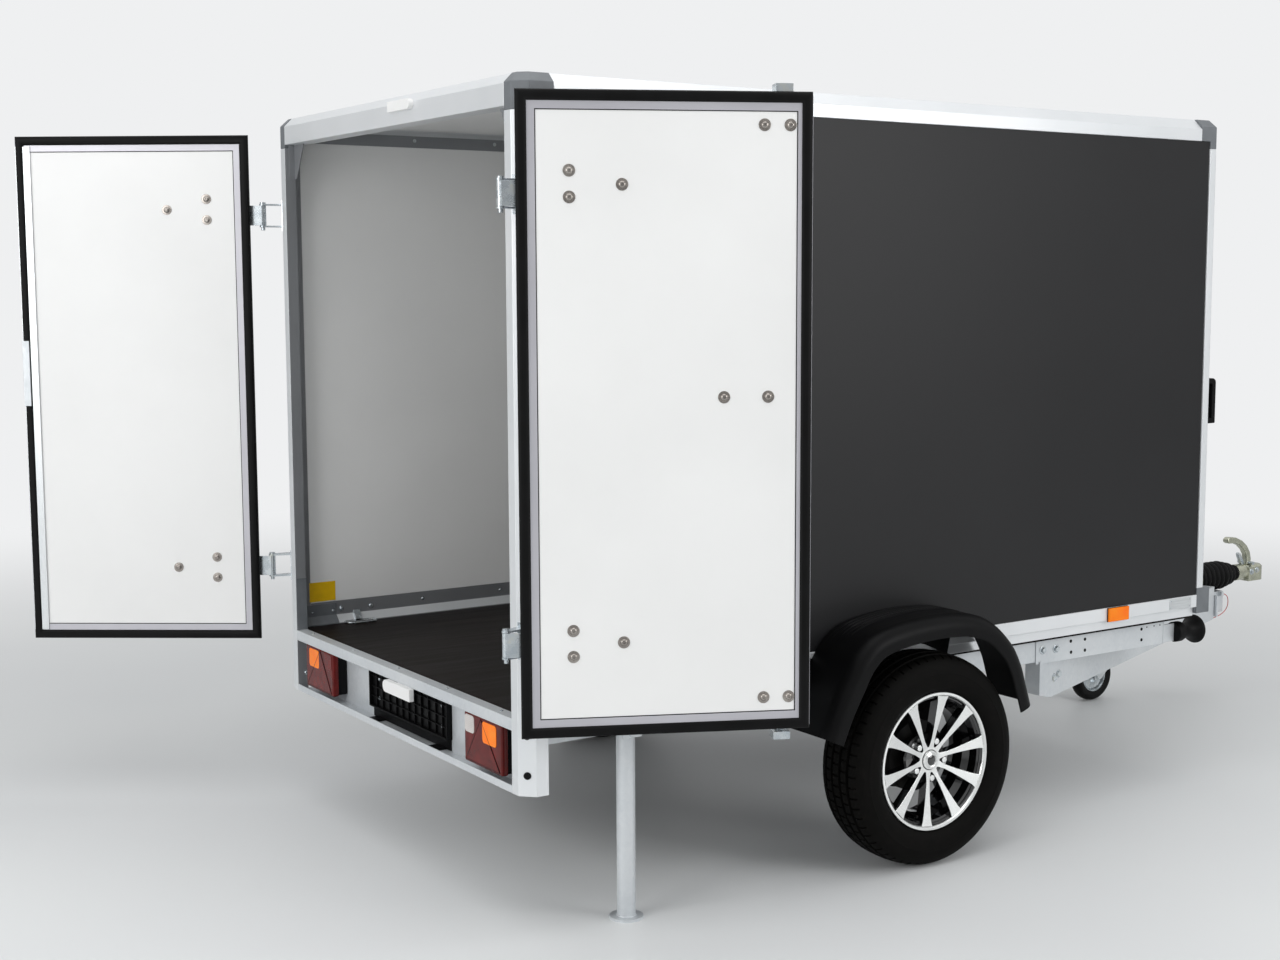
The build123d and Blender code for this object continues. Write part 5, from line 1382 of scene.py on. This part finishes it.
# %% Corner gussets and the blank sticker
GUSSET_Y, GUSSET_DEPTH, GUSSET_WIDTH, GUSSET_HEIGHT = 0.031, 0.004, 0.075, 0.105
post_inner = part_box("posts_rear")[1].x - (HALF_WIDTH - POST_LEG)
header_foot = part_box("header_rear")[0].z - FLOOR
corner = [(post_inner, header_foot), (post_inner - GUSSET_WIDTH, header_foot),
          (post_inner - 0.016, header_foot - GUSSET_HEIGHT), (post_inner, header_foot - GUSSET_HEIGHT)]
gusset = plate([(x, FLOOR + z) for x, z in corner], 1, REAR + GUSSET_Y,
               REAR + GUSSET_Y + GUSSET_DEPTH, 0.001)
lip = block(at(post_inner - 0.003, GUSSET_Y - 0.018, header_foot - GUSSET_HEIGHT),
            at(post_inner, GUSSET_Y + 0.001, header_foot), 0.001)
# The gussets get the darker grey, painted shade under the header.
gusset = joined(painted(gusset, "painted_shade_z"), painted(lip, "painted_shade_z"))
dressed(gusset, "corner_gusset_right", "chassis", "painted_shade_z")
dressed(mirrored(gusset), "corner_gusset_left", "chassis", "painted_shade_z")

sticker = block(at(-WALL_INSIDE, 0.067, 0.638), at(-WALL_INSIDE + 0.0006, 0.158, 0.702), 0.0002, 1)
dressed(sticker, "blank_yellow_sticker", "chassis", "yellow_vinyl")
print("gussets and sticker")

# %% [markdown]
# One more row of fixings shows from behind: the sill strip is screwed down through its
# top lip, with five low heads.

# %% Sill screws
sill_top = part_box("rear_sill")[1].z - FLOOR
sill_screw = painted(dome_bolt(0.0055, 0.0022, (0, 0, 1)), "zinc")
dressed(studded(sill_screw, [at(0.31 * k, 0.020, sill_top) for k in range(-2, 3)]),
        "sill_screws", "chassis", "zinc")
print("sill screws")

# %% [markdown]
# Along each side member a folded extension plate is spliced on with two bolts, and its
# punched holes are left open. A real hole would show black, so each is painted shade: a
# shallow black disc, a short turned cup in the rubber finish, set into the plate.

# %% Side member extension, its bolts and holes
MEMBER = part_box("side_members")[1].x
MEMBER_FRONT_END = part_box("side_members")[1].y - REAR
SEAM_Y, PLATE_THICKNESS = 1.895, 0.003
ext_foot, ext_head = 0.468, 0.543
HOLES = ((2.051, 0.526), (2.116, 0.525), (2.053, 0.490), (2.117, 0.489), (2.384, 0.528), (2.385, 0.492))
SMALL_HOLES = ((2.410, 0.532), (2.445, 0.532), (2.474, 0.532))


def painted_hole_shade(radius, x):
    """A black, slightly dished disc of painted shade that reads as an open hole."""
    return turning(((0.0, 0.0), (radius, 0.0), (radius, 0.0004), (0.6 * radius, 0.0002), (0.0, 0.0001)),
                   (1, 0, 0), (x, 0, 0), steps=20)


extension = block(at(MEMBER, SEAM_Y, ext_foot),
                  at(MEMBER + PLATE_THICKNESS, MEMBER_FRONT_END, ext_head), 0.0008)
painted(extension, "galvanised")
face = MEMBER + PLATE_THICKNESS
# The open holes are painted shade: black discs in the rubber finish.
dark = studded(painted(painted_hole_shade(0.0055, 0.0), "rubber"), [at(face, y, z) for y, z in HOLES])
small = studded(painted(painted_hole_shade(0.0025, 0.0), "rubber"), [at(face, y, z) for y, z in SMALL_HOLES])
splice_bolts = studded(painted(hex_bolt(0.0095, 0.0085, (1, 0, 0)), "zinc"),
                       [at(face, 1.925, 0.512), at(face, 1.984, 0.509)])
side_detail = joined(extension, dark, small, splice_bolts)
dressed(side_detail, "side_member_extension_right", "chassis", "galvanised")
dressed(mirrored(side_detail), "side_member_extension_left", "chassis", "galvanised")
print("extension plates", round(MEMBER_FRONT_END - SEAM_Y, 3), "m long")

# %% [markdown]
# The V-beams are bolted to the side members at their rear ends, with two hexagon bolts
# through each end, and the axle is bolted on with two more under each perch.

# %% V-beam and axle bolts
BEAM_BOLT_X = 0.641
beam_bolts = studded(painted(hex_bolt(0.0100, 0.0090, (1, 0, 0)), "zinc"),
                     [at(BEAM_BOLT_X + 0.027, 2.012, 0.405), at(BEAM_BOLT_X + 0.015, 2.045, 0.413)])
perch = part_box("axle_beam")
axle_y = (perch[0].y + perch[1].y) / 2 - REAR
perch_bolts = studded(painted(hex_bolt(0.0100, 0.0090, (0, 0, -1)), "zinc"),
                      [at(0.675, axle_y + dy, 0.437) for dy in (-0.055, 0.055)])
under = joined(beam_bolts, perch_bolts)
dressed(under, "chassis_bolts_right", "chassis", "zinc")
dressed(mirrored(under), "chassis_bolts_left", "chassis", "zinc")
print("chassis bolts")

# %% [markdown]
# The front marker lamp stands on a rubber arm shaped like a bell: narrow at the waist,
# flared round a white lens that looks forward. It flexes when it is knocked, which is
# why it is one turned piece of black rubber.

# %% Marker lamps
LAMP_X, LAMP_Z, LAMP_ROOT = 0.700, 0.500, 2.545
BELL = ((0.0, 0.0), (0.0320, 0.0), (0.0340, 0.0030), (0.0340, 0.0260), (0.0320, 0.0330), (0.0280, 0.0420),
        (0.0262, 0.0550), (0.0275, 0.0680), (0.0320, 0.0800), (0.0390, 0.0900), (0.0455, 0.0970),
        (0.0480, 0.1020), (0.0480, 0.1060), (0.0430, 0.1070), (0.0, 0.1070))
bell = painted(turning(BELL, (0, 1, 0), at(LAMP_X, LAMP_ROOT, LAMP_Z), steps=48), "rubber")
FRONT_LENS = ((0.0, 0.1068), (0.0425, 0.1068), (0.0425, 0.1085), (0.0300, 0.1095), (0.0, 0.1100))
lens = painted(turning(FRONT_LENS, (0, 1, 0), at(LAMP_X, LAMP_ROOT, LAMP_Z), steps=40), "clear_lens")
flange = block(at(LAMP_X - 0.046, 2.490, 0.467), at(LAMP_X + 0.004, 2.4945, 0.549), 0.0010)
arm = block(at(LAMP_X - 0.003, 2.4935, 0.470), at(LAMP_X + 0.003, 2.556, 0.530), 0.0010)
bracket = painted(joined(flange, arm), "galvanised")
lamp = joined(bell, lens, bracket)
dressed(lamp, "marker_lamp_right", "chassis", "rubber", "marker_lamps")
dressed(mirrored(lamp), "marker_lamp_left", "chassis", "rubber", "marker_lamps")

# %% Side reflectors and the blank type plate
REFLECTOR_LOW, REFLECTOR_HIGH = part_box("side_reflectors")
outer_face = REFLECTOR_HIGH.x
low_y, high_y = REFLECTOR_LOW.y - REAR, REFLECTOR_HIGH.y - REAR
low_z, high_z = REFLECTOR_LOW.z - FLOOR, REFLECTOR_HIGH.z - FLOOR
base = painted(block(at(HALF_WIDTH - 0.001, low_y, low_z), at(HALF_WIDTH + 0.003, high_y, high_z), 0.001),
               "black_plastic")
amber = painted(block(at(HALF_WIDTH + 0.002, low_y + 0.0005, low_z + 0.0005),
                      at(outer_face, high_y - 0.0005, high_z - 0.0005), 0.0022, 3), "amber_lens")
reflector = joined(base, amber)
dressed(reflector, "side_reflector_right", "chassis", "amber_lens", "side_reflectors")
dressed(mirrored(reflector), "side_reflector_left", "chassis", "amber_lens", "side_reflectors")

TYPE_LOW, TYPE_HIGH = (2.432, 0.5965), (2.538, 0.6325)
type_plate = block(at(HALF_WIDTH - 0.0004, *TYPE_LOW), at(HALF_WIDTH + 0.0012, *TYPE_HIGH), 0.0004, 1)
rivets = studded(painted(dome_bolt(0.0026, 0.0012, (1, 0, 0)), "zinc"),
                 [at(HALF_WIDTH + 0.0012, y, z) for y in (TYPE_LOW[0] + 0.007, TYPE_HIGH[0] - 0.007)
                  for z in (TYPE_LOW[1] + 0.007, TYPE_HIGH[1] - 0.007)])
dressed(joined(painted(type_plate, "type_plate"), rivets), "blank_type_plate", "chassis", "type_plate")
print("lamps, reflectors and type plate")

# %% [markdown]
# The overrun coupling. The draw tube slides back into its housing when the trailer pushes
# the car, and a ribbed rubber bellows keeps the grease clean. Its folds are one outline
# turned round the tube: even ridges, then a neck that grips the casting in front.

# %% Bellows
TUBE_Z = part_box("bellows")[0].z / 2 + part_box("bellows")[1].z / 2
bellows_rear, bellows_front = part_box("bellows")[0].y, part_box("bellows")[1].y
FOLDS, RIDGE, VALLEY, NECK, NECK_LENGTH = 8, 0.0570, 0.0460, 0.0300, 0.030
pitch = (bellows_front - bellows_rear - NECK_LENGTH) / FOLDS
folds = [(0.0255, 0.0)]
for k in range(FOLDS):
    shrink = 1.0 - 0.10 * max(0, k - FOLDS + 3)
    folds += [(VALLEY * shrink, k * pitch), (RIDGE * shrink - 0.002, (k + 0.28) * pitch),
              (RIDGE * shrink, (k + 0.50) * pitch), (RIDGE * shrink - 0.002, (k + 0.72) * pitch)]
end = FOLDS * pitch
folds += [(0.0380, end), (NECK, end + 0.008), (NECK - 0.001, end + 0.018), (NECK + 0.002, end + 0.020),
          (NECK + 0.002, end + NECK_LENGTH - 0.001), (0.0255, end + NECK_LENGTH - 0.001)]
bellows = turning(folds, (0, 1, 0), (0, bellows_rear, TUBE_Z), steps=64, smooth=60)
dressed(bellows, "ribbed_bellows", "chassis", "rubber", "bellows")
print("bellows:", FOLDS, "folds")

# %% [markdown]
# The coupling handle is a pressed steel bow. It rises from the casting, sweeps back over
# the bellows and ends in a rolled grip; a shorter safety catch stands behind it, with the
# spring pin they share. It is a side outline pulled to a width and then well rounded.

# %% Coupling handle and catch
HANDLE_HALF, CATCH_HALF = 0.014, 0.008
BOW_SIDE = ((-0.034, 0.037), (-0.030, 0.060), (-0.038, 0.090), (-0.058, 0.118), (-0.088, 0.140),
            (-0.125, 0.155), (-0.168, 0.160), (-0.180, 0.152), (-0.180, 0.140), (-0.168, 0.134),
            (-0.130, 0.132), (-0.100, 0.120), (-0.075, 0.101), (-0.060, 0.080), (-0.056, 0.060),
            (-0.061, 0.037))
bow = painted(plate(BOW_SIDE, 0, -HANDLE_HALF, HANDLE_HALF, 0.0055, 4), "passivated")
CATCH_SIDE = ((-0.078, 0.036), (-0.062, 0.036), (-0.072, 0.058), (-0.084, 0.078), (-0.096, 0.092),
              (-0.104, 0.086), (-0.098, 0.070), (-0.088, 0.054))
catch = painted(plate(CATCH_SIDE, 0, -CATCH_HALF, CATCH_HALF, 0.0025, 3), "zinc")
pin = painted(turning(((0.0, -0.037), (0.007, -0.037), (0.007, 0.037), (0.0, 0.037)), (1, 0, 0),
                      (0, -0.047, 0.046), steps=20), "zinc")
dressed(joined(bow, catch, pin), "coupling_handle_bow", "chassis", "passivated", "coupling_handle")

# %% Bolts through the casting and the drawbar head
head_bolts = studded(painted(hex_bolt(0.0085, 0.0080, (1, 0, 0)), "zinc"),
                     [(0.0335, -0.052, 0.012), (0.0335, -0.020, 0.016)])
head_bolts_left = mirrored(head_bolts)
housing_bolts = studded(painted(hex_bolt(0.0100, 0.0090, (1, 0, 0)), "zinc"),
                        [at(0.0435, y, 0.410) for y in (3.540, 3.585)] + [at(0.0435, 3.385, 0.525)])
dressed(joined(head_bolts, head_bolts_left, housing_bolts), "coupling_bolts", "chassis", "zinc")
print("handle, catch and bolts")

# %% [markdown]
# The breakaway cable is a thin steel wire in a red sheath. It leaves an eye at the front
# of the housing, drops in a loop and goes back under the drawbar to a second eye. Its
# route repeats the frame's own points; 3 mm wire bends softly, so the curve is a spline.

# %% Breakaway cable
CABLE_X, CABLE_DIAMETER, CABLE_LENGTH = 0.056, 0.003, 0.322
CABLE_ROUTE = ((3.612, 0.430), (3.652, 0.424), (3.642, 0.350), (3.500, 0.328), (3.412, 0.363))
path = bpy.data.curves.new("breakaway_cable_red", "CURVE")
path.dimensions = "3D"
path.bevel_depth = CABLE_DIAMETER / 2
path.bevel_resolution = 3
path.use_fill_caps = True
run = path.splines.new("NURBS")
run.points.add(len(CABLE_ROUTE) - 1)
for spot, (y, z) in zip(run.points, CABLE_ROUTE):
    spot.co = (*at(CABLE_X, y, z), 1)
run.order_u = 3
run.use_endpoint_u = True
run.resolution_u = 16
cable = bpy.data.objects.new("breakaway_cable_red", path)
bpy.context.collection.objects.link(cable)
dressed(cable, "breakaway_cable_red", "chassis", "red_sheath", "breakaway_cable")
print("breakaway cable", CABLE_LENGTH, "m")

# %% [markdown]
# The jockey wheel: a solid rubber tyre on a pressed steel rim, in a trailing fork. Both
# are turnings, drawn for a wheel 160 mm across and scaled to the frame's. The rim is two
# dished pressings welded back to back, hollow between the hub and a rolled edge.

# %% Jockey wheel
WHEEL_LOW, WHEEL_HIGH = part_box("jockey_tyre")
JOCKEY = (WHEEL_LOW + WHEEL_HIGH) / 2
radius = (WHEEL_HIGH.z - WHEEL_LOW.z) / 2
half = (WHEEL_HIGH.x - WHEEL_LOW.x) / 2
DRAWN_RADIUS, DRAWN_HALF = 0.080, 0.022
TYRE_SIDE = ((0.0500, 0.0150), (0.0560, 0.0190), (0.0640, 0.0212), (0.0700, 0.0205), (0.0745, 0.0180),
             (0.0775, 0.0140), (0.0792, 0.0080), (0.0800, 0.0))
side_out = [(r * radius / DRAWN_RADIUS, a * half / DRAWN_HALF) for r, a in TYRE_SIDE]
side_out += [(r, -a) for r, a in reversed(side_out[:-1])]
solid_tyre = turning(side_out, (1, 0, 0), JOCKEY, steps=72)
dressed(solid_tyre, "jockey_solid_tyre", "jockey_wheel", "rubber", "jockey_tyre")

DISH = ((0.0, 0.0235), (0.0120, 0.0235), (0.0140, 0.0220), (0.0150, 0.0160), (0.0210, 0.0085),
        (0.0330, 0.0060), (0.0420, 0.0080), (0.0455, 0.0145), (0.0480, 0.0170), (0.0505, 0.0165),
        (0.0505, 0.0))
dish = [(r * radius / DRAWN_RADIUS, a * half / DRAWN_HALF) for r, a in DISH]
dish += [(r, -a) for r, a in reversed(dish[:-1])]
rim = turning(dish, (1, 0, 0), JOCKEY, steps=64)
dressed(rim, "jockey_pressed_rim", "jockey_wheel", "zinc", "jockey_rim")
print("jockey wheel", round(2 * radius, 3), "m across")

# %% [markdown]
# The fork is bent from galvanised plate, and the axle is a bolt with a nut. The screw
# jack above has a crank with a black handle that turns freely on its pin.

# %% Axle nut and crank handle
axle_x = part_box("jockey_fork")[1].x
nut = painted(hex_bolt(0.0095, 0.0075, (1, 0, 0)), "zinc")
outer_nut = studded(nut, [(axle_x - 0.008, JOCKEY.y, JOCKEY.z)])
dressed(outer_nut, "jockey_axle_nut", "jockey_caster", "zinc")
TUBE_LOW, TUBE_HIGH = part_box("jockey_tube")
crank_y = TUBE_LOW.y + 0.012
GRIP = ((0.0, 0.0), (0.0125, 0.0), (0.0135, 0.006), (0.0130, 0.040), (0.0120, 0.078), (0.0090, 0.0845),
        (0.0, 0.0850))
grip_foot = (JOCKEY.x, crank_y, TUBE_HIGH.z - 0.086)
grip = painted(turning(GRIP, (0, 0, 1), grip_foot, steps=28), "black_plastic")
dressed(grip, "jockey_crank_handle", "chassis", "black_plastic")

# %% [markdown]
# The prop stand under the rear corner is a tube with a round foot plate and a weld bead
# where they meet, and the bolt it folds on has a hexagon head outside the bracket.

# %% Prop stand details
STAND_LOW, STAND_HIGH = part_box("prop_stand")
stand_x, stand_y = (STAND_LOW.x + STAND_HIGH.x) / 2, (STAND_LOW.y + STAND_HIGH.y) / 2
bpy.ops.mesh.primitive_torus_add(major_segments=40, minor_segments=8, major_radius=0.0255,
                                 minor_radius=0.0026, location=(stand_x, stand_y, STAND_LOW.z + 0.0085))
weld = settled(bpy.context.object)
dressed(smoothed(painted(weld, "galvanised")), "prop_stand_weld", "prop_stand", "galvanised")
pivot = joints["prop_stand_fold"]["pos_m"]
fold_bolt = studded(painted(hex_bolt(0.0110, 0.0100, (1, 0, 0)), "zinc"),
                    [(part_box("prop_bracket")[1].x - 0.012, pivot[1], pivot[2])])
dressed(fold_bolt, "prop_stand_fold_bolt", "chassis", "zinc")
print("stand and bolt")
